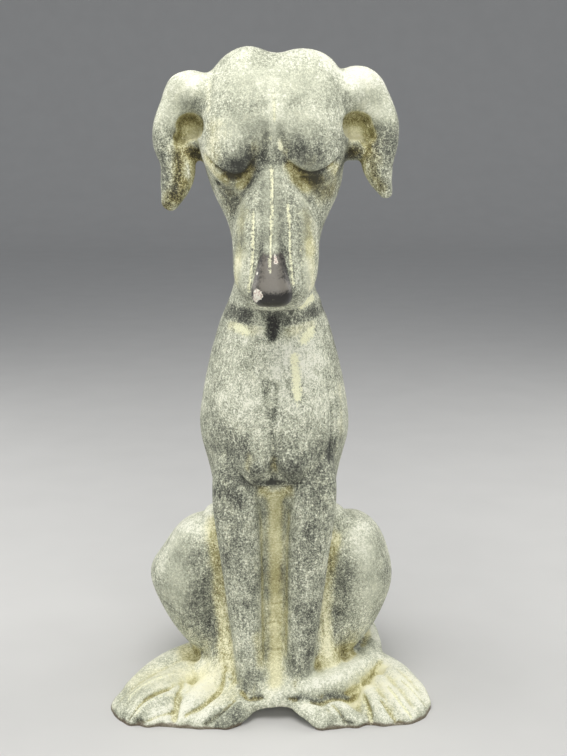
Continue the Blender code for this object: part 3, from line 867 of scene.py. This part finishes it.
def with_limbs():
    """The body with its muzzle, legs, feet, base and the roots of its ears."""
    pieces = [
        body_masses(),
        level_mass("muzzle", MUZZLE, fullness=MUZZLE_FULLNESS),
        base_plate("base"),
        limb("tail_bed", TAIL_BED, deep=UP),
    ]
    for side in (LEFT, RIGHT):
        pieces += [
            limb("foreleg", FORELEG, side, fullness=LEG_FULLNESS),
            limb("flank", FLANK, side),
            ball("chest_lobe", *CHEST_LOBE, side),
            ball("ear_web", *EAR_WEB, side),
            ball("ear_root", *EAR_ROOT, side),
            ball("heel", *HEEL[side], side),
            limb("hind_foot", HIND_FOOT[side], side, deep=UP),
            limb("fore_foot", FORE_FOOT, side, deep=UP),
        ]
    return fuse("limbs", pieces, LIMB_CELL, LIMB_ROUNDS)


def with_details(cell):
    """The whole form, with its hollow, its arch and its flat ground."""
    pieces = [
        with_limbs(),
        limb("tail", TAIL, deep=UP),
        level_mass("jaw", JAW),
        level_mass("nose", NOSE, fullness=NOSE_FULLNESS),
        collar("collar"),
    ]
    for side in (LEFT, RIGHT):
        pieces.append(limb("ear", EAR[side], side, fullness=EAR_FULLNESS))
        pieces.append(ball("ear_ledge", *EAR_LEDGE, side))
        pieces += [limb("toe", table, side, deep=UP) for table in TOES[side]]
    rough = fuse("details", pieces, DETAIL_CELL, DETAIL_ROUNDS)
    cups = [ball("ear_cup", *EAR_CUP[side], side) for side in (LEFT, RIGHT)]
    cut(rough, cups + [level_mass("hollow", HOLLOW), arch()])
    return cut(fuse("cast_hound", [rough], cell, SKIN_ROUNDS), [ground_block()])


def ground_block():
    """Everything below the plane z = 0."""
    place = Matrix.Translation(-0.5 * TABLE_HEIGHT * UP) @ Matrix.Scale(TABLE_HEIGHT, 4)
    return mesh_object(
        "ground", lambda bm: bmesh.ops.create_cube(bm, size=1.0, matrix=place)
    )


def arch():
    """The low tunnel between the fore feet, open to the hollow."""
    turn = Matrix.Rotation(math.radians(90), 4, "X")
    size = Matrix.Diagonal((ARCH_HALF_WIDTH, ARCH_HEIGHT, 1, 1))
    frames = [
        Matrix.Translation((ARCH_CENTRE, y, 0)) @ turn @ size for y in (ARCH_FRONT, ARCH_BACK)
    ]
    return loft("arch", frames, ARCH_FULLNESS)


def vertex_rows(mesh):
    """The places and outward directions of a mesh's vertices, as arrays of rows."""
    places, ways = np.empty(3 * len(mesh.vertices)), np.empty(3 * len(mesh.vertices))
    mesh.vertices.foreach_get("co", places)
    mesh.vertices.foreach_get("normal", ways)
    return places.reshape(-1, 3), ways.reshape(-1, 3)


def surface_tree(mesh):
    """The mesh's faces, ready for rays and nearest places."""
    return BVHTree.FromPolygons(
        [vert.co for vert in mesh.vertices], [tuple(face.vertices) for face in mesh.polygons]
    )


def laid_on(tree, view, points):
    """Points of a view carried along its sight lines until they meet the surface.

    A mark that runs off an ear or a foot goes on over the nearest edge.
    """
    path = []
    for first, second in smooth_rows(points):
        if view == FRONT:
            start, sight = Vector((first, -TABLE_HEIGHT, second)), Vector((0, 1, 0))
            beside = Vector((first, EAR_DEPTH, second))
        else:
            start, sight = Vector((first, second, FOOT_CEILING)), -UP
            beside = Vector((first, second, RIM_HEIGHT))
        place = tree.ray_cast(start, sight)[0]
        if place is None:
            place = tree.find_nearest(beside)[0]
        path.append(np.array(place))
    return path


def measured(places, path, view, within):
    """The places within reach of a path: their indexes, distance, fullness and side.

    The fullness is 1 along the middle of the way and less towards its ends. The side
    is above 0 on the left of the way, as its view sees it.
    """
    low, high = np.min(path, axis=0) - within, np.max(path, axis=0) + within
    near = np.nonzero(np.all((places > low) & (places < high), axis=1))[0]
    close = places[near]
    viewer = np.array((0, -1, 0) if view == FRONT else (0, 0, 1))
    distance = np.linalg.norm(close - path[0], axis=1)
    full, side = np.ones(len(near)), np.ones(len(near))
    lengths = [np.linalg.norm(end - start) for start, end in zip(path, path[1:])]
    walked, whole = 0.0, sum(lengths)
    ramp = min(0.5 * within, whole / 3)
    for start, end, length in zip(path, path[1:], lengths):
        way = (end - start) / max(length, TINY)
        step = np.clip((close - start) @ way, 0, length)
        gap = close - start - step[:, None] * way
        here = np.linalg.norm(gap, axis=1)
        better = (here < distance) | (walked == 0.0)
        distance[better] = here[better]
        passed = walked + step[better]
        full[better] = eased(np.minimum(passed, whole - passed), -0.6 * ramp, ramp)
        side[better] = (gap[better] @ np.cross(viewer, way)) / np.maximum(here[better], TINY)
        walked += length
    return near, distance, full, side


def laid_rows(tree, places, sets, reach):
    """Each row's numbers, the first its width, and the places that its way touches."""
    for view, rows in sets:
        for row in rows:
            numbers = [part for part in row if not isinstance(part, tuple)]
            path = laid_on(tree, view, row[len(numbers) :])
            near, distance, full, _ = measured(places, path, view, reach * numbers[0])
            yield numbers, near, distance, full


def bell(distance, width):
    """1 in the middle and falling away, to about a third at the width."""
    return np.exp(-((distance / width) ** 2))


def eased(value, low, high):
    """0 below low, 1 above high, and a smooth rise between."""
    t = np.clip((value - low) / (high - low), 0, 1)
    return t * t * (3 - 2 * t)


def tool_surface(obj, strength, lump):
    """Works the marks, folds, sand holes and lumps of the casting into the skin."""
    mesh = obj.data
    places, ways = vertex_rows(mesh)
    tree = surface_tree(mesh)
    lift = np.zeros(len(places))
    for row, near, distance, full in laid_rows(tree, places, MARKS, MARK_REACH):
        width, depth, _ = row
        lift[near] += depth * bell(distance, width) * full
    for lip, lip_reach, cut_depth, cut_reach, *points in FOLDS:
        within = FOLD_REACH * max(lip_reach, cut_reach)
        path = laid_on(tree, FRONT, points)
        near, distance, full, side = measured(places, path, FRONT, within)
        above = 0.5 + 0.5 * np.tanh(distance * side / LIP_EDGE)
        raised = above * lip * bell(distance, lip_reach)
        lift[near] += full * (raised - (1 - above) * cut_depth * bell(distance, cut_reach))
    lift *= strength
    lift += np.array([lump * cast_lumps(place) for place in places])
    draw = np.random.default_rng(PIT_SEED)
    for index in draw.integers(0, len(places), PITS):
        width, depth = draw.uniform(*PIT_WIDTHS), draw.uniform(*PIT_DEPTHS)
        gaps = places - places[index]
        near = np.nonzero(np.abs(gaps).max(axis=1) < MARK_REACH * width)[0]
        lift[near] -= depth * bell(np.linalg.norm(gaps[near], axis=1), width)
    lift *= eased(places[:, 2], *SOLE_RISE)
    mesh.vertices.foreach_set("co", (places + ways * lift[:, None]).ravel())
    mesh.update()


def cast_lumps(place):
    """The faint unevenness of sand-cast iron, in parts of its greatest height."""
    return sum(share * noise.noise(Vector(place) / size) for share, size in LUMPS)


def thin(obj, triangles):
    """Merges the mesh down to a number of triangles, fewest where it is plain."""
    obj.data.calc_loop_triangles()
    step = obj.modifiers.new("Thin", "DECIMATE")
    step.ratio = min(1.0, triangles / len(obj.data.loop_triangles))
    bake_modifiers(obj)


def softened(values, pairs, rounds):
    """Values of the vertices after rounds of averaging with their neighbours."""
    count = len(values)
    first, second = pairs.T
    share = np.maximum(np.bincount(pairs.ravel(), minlength=count), 1)
    for _ in range(rounds):
        total = np.bincount(first, values[second], count)
        total += np.bincount(second, values[first], count)
        values = 0.5 * values + 0.5 * total / share
    return values


def enclosure(tree, places, ways, pairs):
    """How shut in each vertex is, from 0 in the open to 1 deep in a hollow."""
    turns = [(math.sqrt((k + 0.5) / RAYS), k * GOLDEN_TURN) for k in range(RAYS)]
    hits = np.zeros(len(places))
    for i, (place, way) in enumerate(zip(places, ways)):
        out = Vector(way)
        across = out.orthogonal().normalized()
        other = out.cross(across)
        start = Vector(place) + out * RAY_START
        for spread, angle in turns:
            angle += RAY_TURN * i
            ray = across * (spread * math.cos(angle)) + other * (spread * math.sin(angle))
            ray += out * math.sqrt(1 - spread * spread)
            distance = tree.ray_cast(start, ray, RAY_REACH)[3]
            if distance is not None:
                hits[i] += 1 - RAY_FADE * distance / RAY_REACH
    return softened(hits / RAYS, pairs, SHUT_ROUNDS)


def within_levels(places, table, margin):
    """1 inside the outline that a table of level cuts has from the front, 0 outside."""
    rows = sorted(table)
    heights = [row[0] for row in rows]
    middle = np.interp(places[:, 2], heights, [row[1] for row in rows])
    half = np.interp(places[:, 2], heights, [row[4] for row in rows])
    across = eased(half - np.abs(places[:, 0] - middle), -margin, margin)
    low = eased(places[:, 2], heights[0] - 2 * margin, heights[0] + margin)
    high = eased(-places[:, 2], -heights[-1] - margin, -heights[-1] + 6 * margin)
    back = max(row[3] for row in rows)
    return across * low * high * eased(-places[:, 1], -back, NOSE_BACK - back)


def collar_band(places):
    """1 on the collar's band and on the dark tab under the chin, which is dark paint and painted
    shadow of the muzzle; 0 elsewhere.
    """
    centre, _, half_height, lean = COLLAR
    axis = leaned(lean) @ UP
    level = np.abs((places - np.array(centre)) @ np.array(axis))
    band = 1 - eased(level, half_height + BAND_EDGE[0], half_height + BAND_EDGE[1])
    band *= eased(-places[:, 1], *BAND_BACK)
    fall = places[:, 2] - (centre[2] - SHADED_TAB_DROP) - SHADED_TAB_SLOPE * np.abs(places[:, 0] + 1)
    shaded_tab = eased(fall, -SHADED_TAB_EDGE, SHADED_TAB_EDGE) * eased(-places[:, 1], *SHADED_TAB_FRONT)
    shaded_tab *= 1 - eased(places[:, 2], centre[2] + SHADED_TAB_TOP[0], centre[2] + SHADED_TAB_TOP[1])
    return np.maximum(band, shaded_tab)


def survey(obj):
    """What the finish needs to know about each vertex, as named arrays."""
    mesh = obj.data
    places, ways = vertex_rows(mesh)
    pairs = np.empty(2 * len(mesh.edges), np.int64)
    mesh.edges.foreach_get("vertices", pairs)
    pairs = pairs.reshape(-1, 2)
    tree = surface_tree(mesh)

    soft = np.stack([softened(values, pairs, DIP_ROUNDS) for values in places.T], axis=1)
    dip = np.sum((soft - places) * ways, axis=1)
    shut = enclosure(tree, places, ways, pairs)
    foot = 1 - eased(places[:, 2], *FOOT_LEVELS)

    # Faces turned up are painted paler, as lit from above; ridges get a painted highlight and
    # small dips painted shade.
    tone = TOP_LIGHT_TONE * eased(ways[:, 2], *TOP_LIGHT)
    tone += RIDGE_HIGHLIGHT_TONE * eased(-dip, *RIDGE_HIGHLIGHT) - DIP_SHADE_TONE * eased(dip, *DIP_SHADE)
    ochre = SHUT_OCHRE * eased(shut, *SHUT)
    ochre += foot * (FOOT_OCHRE + FOOT_DIP_OCHRE * eased(dip, *FOOT_DIP))
    chalk, calm, chip = (np.zeros(len(places)) for _ in range(3))
    for row, near, distance, _ in laid_rows(tree, places, PATCHES, PATCH_REACH):
        reach, paler, yellow = row
        tone[near] += paler * bell(distance, reach)
        ochre[near] += yellow * bell(distance, reach)
    for row, near, distance, full in laid_rows(tree, places, MARKS, MARK_REACH):
        width, _, amount = row
        worn = amount * bell(distance, CHALK_WIDTH * width) * full
        chalk[near] = np.maximum(chalk[near], worn)
    for (reach,), near, distance, _ in laid_rows(tree, places, CALM, PATCH_REACH):
        calm[near] = np.maximum(calm[near], bell(distance, reach))
    for (radius,), near, distance, _ in laid_rows(tree, places, CHIPS, CHIP_REACH):
        bare = 1 - eased(distance, *(share * radius for share in CHIP_EDGE))
        chip[near] = np.maximum(chip[near], bare)
    return {
        "tone": tone,
        "ochre": ochre,
        "grain": (1 - FOOT_CALMING * foot) * (1 - PLACE_CALMING * calm),
        "chalk": chalk,
        "nose": within_levels(places, NOSE, NOSE_MARGIN),
        "collar": collar_band(places),
        "chip": chip,
        "height": places[:, 2],
    }


def note(mesh, name, values):
    """Keeps one value for each vertex as an attribute of the mesh."""
    held = mesh.attributes.new(name, "FLOAT", "POINT")
    held.data.foreach_set("value", values.astype(np.float32))


class Finish:
    """Short calls that lay out the nodes of one material."""

    def __init__(self, name):
        self.material = bpy.data.materials.new(name)
        self.material.use_nodes = True
        self.nodes = self.material.node_tree.nodes
        self.links = self.material.node_tree.links
        self.surface = self.nodes["Principled BSDF"].inputs

    def put(self, value, socket):
        """Links a node's output to a socket, or sets the socket to a plain value."""
        if isinstance(value, bpy.types.NodeSocket):
            self.links.new(value, socket)
        else:
            socket.default_value = value

    def node(self, kind, inputs, **settings):
        """A new node with its settings and its inputs, which may be other nodes' outputs."""
        made = self.nodes.new(kind)
        for key, value in settings.items():
            setattr(made, key, value)
        for key, value in inputs.items():
            self.put(value, made.inputs[key])
        return made.outputs

    def millimetres(self):
        """Places on the piece, in the millimetres of the form's tables."""
        place = self.node("ShaderNodeTexCoord", {})["Object"]
        return self.stretched(place, (1 / UNIT,) * 3)

    def stretched(self, vector, scale):
        """Places scaled along each axis."""
        return self.node("ShaderNodeMapping", {"Vector": vector, "Scale": scale})["Vector"]

    def held(self, name):
        """A value that the mesh keeps for each vertex."""
        return self.node("ShaderNodeAttribute", {}, attribute_name=name)["Fac"]

    def maths(self, operation, first, second):
        """One step of arithmetic on two values."""
        return self.node("ShaderNodeMath", {0: first, 1: second}, operation=operation)[0]

    def times(self, first, second):
        return self.maths("MULTIPLY", first, second)

    def less(self, first, second):
        return self.maths("SUBTRACT", first, second)

    def total(self, *values):
        result = values[0]
        for value in values[1:]:
            result = self.maths("ADD", result, value)
        return result

    def scaled(self, value, factor, offset=0.0):
        return self.total(self.times(value, factor), offset)

    def swing(self, value, width):
        """A value from 0 to 1 made to swing about 0, over a width."""
        return self.scaled(value, width, -width / 2)

    def rise(self, value, low, high):
        """0 below low, 1 above high, and a smooth rise between."""
        inputs = {"Value": value, "From Min": low, "From Max": high}
        made = self.node("ShaderNodeMapRange", inputs, interpolation_type="SMOOTHSTEP")
        return made["Result"]

    def ragged(self, name, grains, low, high):
        """Where a held value is high, with an edge that some grains break up."""
        swings = [self.swing(grain, width) for grain, width in grains]
        return self.rise(self.total(self.held(name), *swings), low, high)

    def grain(self, vector, size, detail=2.0, rough=0.5, warp=0.0):
        """Noise whose patches are about the given size in millimetres."""
        inputs = {
            "Vector": vector,
            "Scale": 1.0 / size,
            "Detail": detail,
            "Roughness": rough,
            "Distortion": warp,
        }
        return self.node("ShaderNodeTexNoise", inputs)["Fac"]

    def threads(self, vector, size, width):
        """1 on thin winding threads that run through the surface, 0 between them."""
        value = self.grain(vector, size, detail=1.0, warp=0.8)
        gap = self.maths("ABSOLUTE", self.less(value, 0.5), 0.0)
        return self.less(1.0, self.rise(gap, 0.0, width))

    def ramp(self, value, stops):
        """Colours at their places between 0 and 1."""
        made = self.nodes.new("ShaderNodeValToRGB")
        self.put(value, made.inputs["Fac"])
        elements = made.color_ramp.elements
        while len(elements) > 1:
            elements.remove(elements[-1])
        for place, colour in stops:
            elements.new(place).color = (*colour, 1)
        elements.remove(elements[0])
        return made.outputs["Color"]

    def shades(self, value, *colours):
        """Colours spread evenly from 0 to 1."""
        step = 1 / (len(colours) - 1)
        return self.ramp(value, [(i * step, colour) for i, colour in enumerate(colours)])

    def mix(self, factor, first, second):
        inputs = {"Factor": factor, "A": first, "B": second}
        return self.node("ShaderNodeMix", inputs, data_type="RGBA")["Result"]

    def bump(self, height, distance):
        return self.node("ShaderNodeBump", {"Distance": distance, "Height": height})["Normal"]


def patina(paints):
    """Dark iron under a pale speckled patina, chalky in its recesses."""
    finish = Finish("patinated_iron")
    place = finish.millimetres()
    upright = finish.stretched(place, (1.0, 1.0, 0.35))

    flecks = finish.grain(place, 1.2, rough=0.6, warp=0.5)
    specks = finish.grain(place, 0.6, detail=1.0)
    threads = finish.threads(place, 2.4, width=0.045)
    streaks = finish.grain(upright, 2.0, rough=0.6)
    patches = finish.grain(place, 9.0, warp=0.3)
    clouds = finish.grain(place, 30.0, detail=1.0)

    texture = finish.total(
        finish.scaled(finish.rise(flecks, 0.40, 0.75), 0.42, -0.16),
        finish.swing(specks, 0.90),
        finish.scaled(threads, 0.26, -0.08),
        finish.swing(streaks, 0.66),
        finish.swing(patches, 0.66),
    )
    speckle = finish.times(finish.held("grain"), texture)
    # The held tone carries painted light as well as the patina's own tone: paler faces turned up
    # and ridges, darker dips, and the painted shade and highlight patches.
    tone = finish.total(finish.held("tone"), speckle, finish.swing(clouds, 0.70), 0.60)
    cool = finish.shades(
        tone, paints.iron, paints.slate, paints.verdigris, paints.lichen, paints.cream
    )
    warm = finish.shades(
        tone, paints.umber, paints.olive, paints.khaki, paints.straw, paints.butter
    )
    yellow = finish.ragged("ochre", ((patches, 0.7), (streaks, 0.5)), 0.0, 1.0)
    colour = finish.mix(yellow, cool, warm)

    # Darker brown along the lowest few millimetres of the base's edge.
    edge = finish.total(finish.held("height"), finish.swing(patches, 4.0))
    dark_bottom_edge = finish.less(1.0, finish.rise(edge, 1.0, 2.6))
    colour = finish.mix(finish.times(dark_bottom_edge, 0.75), colour, (*paints.dark_bottom_edge, 1))

    # The collar's dark paint, with the tab under the chin, which is dark paint and painted shadow
    # of the muzzle.
    band = finish.ragged("collar", ((patches, 0.7), (flecks, 0.8)), 0.40, 0.75)
    steps = ((0.0, paints.nose_dark), (0.15, paints.iron), (0.55, paints.slate))
    dark = finish.ramp(tone, (*steps, (0.95, paints.lichen)))
    colour = finish.mix(finish.times(band, 0.9), colour, dark)

    # The nose runs from its near black paint to a lighter grey by the tone, painting its sheen,
    # its highlight and the shade on its underside.
    nose = finish.ragged("nose", ((flecks, 0.7), (patches, 0.5)), 0.35, 0.65)
    nose_sheen_and_shade = finish.total(finish.held("tone"), flecks)
    nose_paint_and_sheen = finish.ramp(nose_sheen_and_shade, ((0.2, paints.nose_dark), (0.65, paints.nose)))
    colour = finish.mix(nose, colour, nose_paint_and_sheen)

    worn = finish.ragged("chalk", ((flecks, 1.2), (streaks, 0.5)), 0.25, 0.80)
    chalk = finish.ramp(specks, ((0.25, paints.straw), (0.5, paints.chalk)))
    colour = finish.mix(worn, colour, chalk)

    chipped = finish.ragged("chip", ((specks, 1.2),), 0.4, 0.6)
    steps = ((0.26, paints.nose_dark), (0.40, paints.chip), (0.60, paints.cream))
    colour = finish.mix(chipped, colour, finish.ramp(flecks, steps))
    finish.put(colour, finish.surface["Base Color"])

    bare = finish.less(1.0, nose)
    rough = finish.total(0.34, finish.times(bare, 0.42), finish.scaled(tone, 0.12))
    finish.put(rough, finish.surface["Roughness"])

    crust = finish.total(flecks, finish.scaled(specks, 0.45), finish.scaled(streaks, 0.4))
    crust = finish.times(crust, finish.scaled(bare, 0.75, 0.25))
    finish.put(finish.bump(crust, 0.35 * UNIT), finish.surface["Normal"])
    return finish.material


def floor_finish(colour):
    """Matt pale floor with a barely uneven tone."""
    finish = Finish("pale_floor")
    clouds = finish.grain(finish.millimetres(), 60.0)
    darker = tuple(0.97 * part for part in colour)
    finish.put(finish.ramp(clouds, ((0.3, darker), (0.7, colour))), finish.surface["Base Color"])
    finish.put(0.8, finish.surface["Roughness"])
    return finish.material


def frame_place(obj):
    """Turns table millimetres into the frame: same height, middle and ground as the CAD."""
    places, _ = vertex_rows(obj.data)
    low, high = Vector(places.min(axis=0)), Vector(places.max(axis=0))
    middle = Vector(((low.x + high.x) / 2, (low.y + high.y) / 2, low.z))
    target = Vector(((CAD_LOW.x + CAD_HIGH.x) / 2, (CAD_LOW.y + CAD_HIGH.y) / 2, CAD_LOW.z))
    scale = (CAD_HIGH.z - CAD_LOW.z) / (high.z - low.z)
    return Matrix.Translation(target) @ Matrix.Scale(scale, 4) @ Matrix.Translation(-middle)


# The lamps: name, place in metres, size, the setting of its power, colour.
LAMPS = (
    ("overhead", (-0.10, -0.35, 1.05), 0.7, "key_power", (1, 0.99, 0.97)),
    ("front", (0.15, -1.5, 0.55), 1.1, "fill_power", (1, 1, 1)),
    ("side", (0.85, 0.25, 0.5), 0.8, "side_power", (1, 1, 0.98)),
    ("side", (-0.85, 0.25, 0.5), 0.8, "side_power", (1, 1, 0.98)),
)
CHEST_LEVEL = 0.55  # where the lamps point, as a share of the hound's height


def lamp(name, place, size, power, colour, target):
    """A round lamp turned towards a target."""
    light = bpy.data.lights.new(name, "AREA")
    light.shape = "DISK"
    light.size = size
    light.energy = power
    light.color = colour
    obj = bpy.data.objects.new(name, light)
    bpy.context.scene.collection.objects.link(obj)
    obj.location = place
    obj.rotation_euler = (target - obj.location).to_track_quat("-Z", "Y").to_euler()


def sweep_floor():
    """A broad floor that curves up far behind the hound and runs on as a wall."""
    half, front, bend, radius, top, steps = 6.0, -3.0, 2.6, 1.2, 4.0, 16
    profile = [(front, 0.0), (bend, 0.0)]
    for step in range(1, steps + 1):
        angle = math.pi / 2 * step / steps
        profile.append((bend + radius * math.sin(angle), radius - radius * math.cos(angle)))
    profile.append((bend + radius, top))

    def skin(bm):
        corners = [bm.verts.new((-half, y, CAD_LOW.z + z)) for y, z in profile]
        edges = [bm.edges.new(pair) for pair in zip(corners, corners[1:])]
        grown = bmesh.ops.extrude_edge_only(bm, edges=edges)["geom"]
        move(bm, grown, Matrix.Translation((2 * half, 0, 0)))

    floor = mesh_object("floor", skin)
    if floor.data.polygons[0].normal.z < 0:
        floor.data.flip_normals()
    floor.data.shade_smooth()
    return floor


def setting(kind, name, description, default, **limits):
    """One setting of the panel."""
    return kind(name=name, description=description, default=default, **limits)


def length_setting(name, description, default, **limits):
    return setting(FloatProperty, name, description, default, unit="LENGTH", **limits)


def power_setting(name, description, default):
    return setting(FloatProperty, name, description, default, unit="POWER", min=0.0)


def angle_setting(name, description, degrees):
    angle = math.radians(degrees)
    return setting(FloatProperty, name, description, angle, unit="ROTATION")


def tint(name, description, default):
    limits = {"subtype": "COLOR", "size": 3, "min": 0.0, "max": 1.0}
    return setting(FloatVectorProperty, name, description, default, **limits)


class HoundCasting(PropertyGroup):
    cell: length_setting(
        "Skin cell",
        "Size of the cells of the skin before it is thinned",
        1.1 * UNIT,
        min=0.8 * UNIT,
    )
    quick_cell: length_setting(
        "Quick skin cell", "Size of the cells for a quick look", 1.8 * UNIT, min=0.8 * UNIT
    )
    triangles: setting(
        IntProperty, "Triangles", "Triangles of the finished skin", 196000, max=199000
    )
    tooling: setting(
        FloatProperty,
        "Tooling",
        "Depth of the grooves, lids and toes, as a share of the modelled depth",
        1.0,
        subtype="FACTOR",
        max=1.5,
    )
    lumps: length_setting("Lumps", "Height of the casting's faint unevenness", 0.22 * UNIT)
    table_origin: setting(
        FloatVectorProperty,
        "Table origin",
        "Where the origin of the form's tables lies; the cast step sets it",
        (0.0, 0.0, 0.0),
        size=3,
        unit="LENGTH",
    )


class HoundPatina(PropertyGroup):
    iron: tint("Iron", "Bare dark iron between the flecks", (0.044, 0.045, 0.036))
    slate: tint("Slate", "Grey film over the iron", (0.162, 0.168, 0.13))
    verdigris: tint("Verdigris", "Middle grey-green", (0.356, 0.368, 0.276))
    lichen: tint("Lichen", "Pale grey-green", (0.612, 0.624, 0.478))
    # Cream, the palest stop, is reached on pale flecks and where the tone paints light on faces
    # turned up and on ridges.
    cream: tint("Cream", "Cream bloom on the high places", (0.871, 0.863, 0.73))
    # Umber and olive, the darkest yellows, come where sheltered places are darkest, from the
    # speckle and from the painted shade of the hollows.
    umber: tint("Umber", "Darkest dirt in the hollows", (0.048, 0.041, 0.016))
    olive: tint("Olive", "Olive dirt", (0.195, 0.165, 0.058))
    khaki: tint("Khaki", "Yellow-grey of the sheltered places", (0.407, 0.376, 0.181))
    straw: tint("Straw", "Pale yellow of the sheltered places", (0.665, 0.638, 0.392))
    butter: tint("Butter", "Palest yellow, on the feet", (0.896, 0.863, 0.61))
    chalk: tint("Chalk", "Cream filling left in the grooves", (0.93, 0.92, 0.645))
    # Darker brown for the bottom edge of the base.
    dark_bottom_edge: tint("Rust", "Brown edge of the base", (0.089, 0.051, 0.027))
    # The nose's paint is near black; this lighter grey paints the sheen of its gloss.
    nose: tint("Nose", "Dark grey paint of the nose", (0.181, 0.165, 0.138))
    nose_dark: tint("Dark nose", "Darkest parts of the nose", (0.017, 0.015, 0.013))
    chip: tint("Chip", "Pinkish base under the chipped nose", (0.68, 0.55, 0.47))


class HoundStage(PropertyGroup):
    floor: tint("Floor", "Colour of the floor", (0.64, 0.63, 0.61))
    air: tint("Air", "Colour of the light from all round", (0.80, 0.84, 0.90))
    air_strength: setting(
        FloatProperty, "Air strength", "Strength of the light from all round", 0.36
    )
    key_power: power_setting("Key power", "Power of the large lamp overhead", 6.6)
    fill_power: power_setting("Fill power", "Power of the broad lamp in front", 8.0)
    side_power: power_setting("Side power", "Power of each of the lamps beside the hound", 4.0)
    lens: setting(FloatProperty, "Lens", "Focal length of the camera", 54.1, unit="CAMERA")
    eye: setting(
        FloatVectorProperty,
        "Eye",
        "Where the camera stands, in table millimetres",
        (0.0, -659.0, 324.0),
        size=3,
    )
    pitch: angle_setting("Pitch", "How far the camera looks down", 12.0)
    yaw: angle_setting("Yaw", "How far the camera turns to its right", 0.48)


class HOUND_OT_cast(Operator):
    """Models the one-piece casting and puts it in the frame"""

    bl_idname = "hound.cast"
    bl_label = "Cast hound"
    bl_options = {"UNDO"}

    def execute(self, context):
        casting = context.scene.hound_casting
        cell = casting.cell
        hound = with_details(cell / UNIT)
        hound.name = hound.data.name = "cast_hound"
        tool_surface(hound, casting.tooling, casting.lumps / UNIT)
        thin(hound, casting.triangles)
        for name, values in survey(hound).items():
            note(hound.data, name, values)
        place = frame_place(hound)
        hound.data.transform(place)
        hound.data.shade_smooth()
        casting.table_origin = place.translation
        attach(hound, "root")
        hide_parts(NODE)
        return {"FINISHED"}


class HOUND_OT_finish(Operator):
    """Gives the casting its worn patina"""

    bl_idname = "hound.finish"
    bl_label = "Patinate hound"
    bl_options = {"UNDO"}

    def execute(self, context):
        hound = bpy.data.objects["cast_hound"]
        hound.data.materials.clear()
        hound.data.materials.append(patina(context.scene.hound_patina))
        return {"FINISHED"}


class HOUND_OT_stage(Operator):
    """Sets the floor, the soft lamps and the camera"""

    bl_idname = "hound.stage"
    bl_label = "Set stage"
    bl_options = {"UNDO"}

    def execute(self, context):
        scene, stage = context.scene, context.scene.hound_stage
        floor = sweep_floor()
        floor.data.materials.append(floor_finish(stage.floor))

        world = bpy.data.worlds.new("soft_air")
        world.use_nodes = True
        air = world.node_tree.nodes["Background"]
        air.inputs["Color"].default_value = (*stage.air, 1)
        air.inputs["Strength"].default_value = stage.air_strength
        scene.world = world

        chest = Vector((0, 0, CHEST_LEVEL * (CAD_HIGH.z - CAD_LOW.z)))
        for name, place, size, power, colour in LAMPS:
            lamp(name, place, size, getattr(stage, power), colour, chest)

        data = bpy.data.cameras.new("camera")
        data.sensor_width = 36.0
        data.lens = stage.lens
        data.clip_start = 0.05
        camera = bpy.data.objects.new("camera", data)
        scene.collection.objects.link(camera)
        camera.location = Vector(scene.hound_casting.table_origin) + UNIT * Vector(stage.eye)
        camera.rotation_euler = (math.radians(90) - stage.pitch, 0, -stage.yaw)
        scene.camera = camera
        scene.view_settings.view_transform = "Standard"
        return {"FINISHED"}


class HOUND_PT_panel(Panel):
    """Lists the hound's steps and their settings"""

    bl_idname = "HOUND_PT_panel"
    bl_label = "Sitting hound"
    bl_space_type = "VIEW_3D"
    bl_region_type = "UI"
    bl_category = "Hound"

    def draw(self, context):
        scene = context.scene
        for settings, operator in (
            (scene.hound_casting, HOUND_OT_cast),
            (scene.hound_patina, HOUND_OT_finish),
            (scene.hound_stage, HOUND_OT_stage),
        ):
            box = self.layout.box()
            for name in settings.bl_rna.properties.keys():
                if name not in {"rna_type", "name"}:
                    box.prop(settings, name)
            box.operator(operator.bl_idname)


CLASSES = (
    HoundCasting,
    HoundPatina,
    HoundStage,
    HOUND_OT_cast,
    HOUND_OT_finish,
    HOUND_OT_stage,
    HOUND_PT_panel,
)
SETTINGS = {
    "hound_casting": HoundCasting,
    "hound_patina": HoundPatina,
    "hound_stage": HoundStage,
}


def register():
    for cls in CLASSES:
        bpy.utils.register_class(cls)
    for name, group in SETTINGS.items():
        setattr(bpy.types.Scene, name, PointerProperty(type=group))


def unregister():
    for name in SETTINGS:
        delattr(bpy.types.Scene, name)
    for cls in reversed(CLASSES):
        bpy.utils.unregister_class(cls)


def main():
    register()
    bpy.ops.hound.cast()
    bpy.ops.hound.finish()
    bpy.ops.hound.stage()


if __name__ == "__main__":
    main()
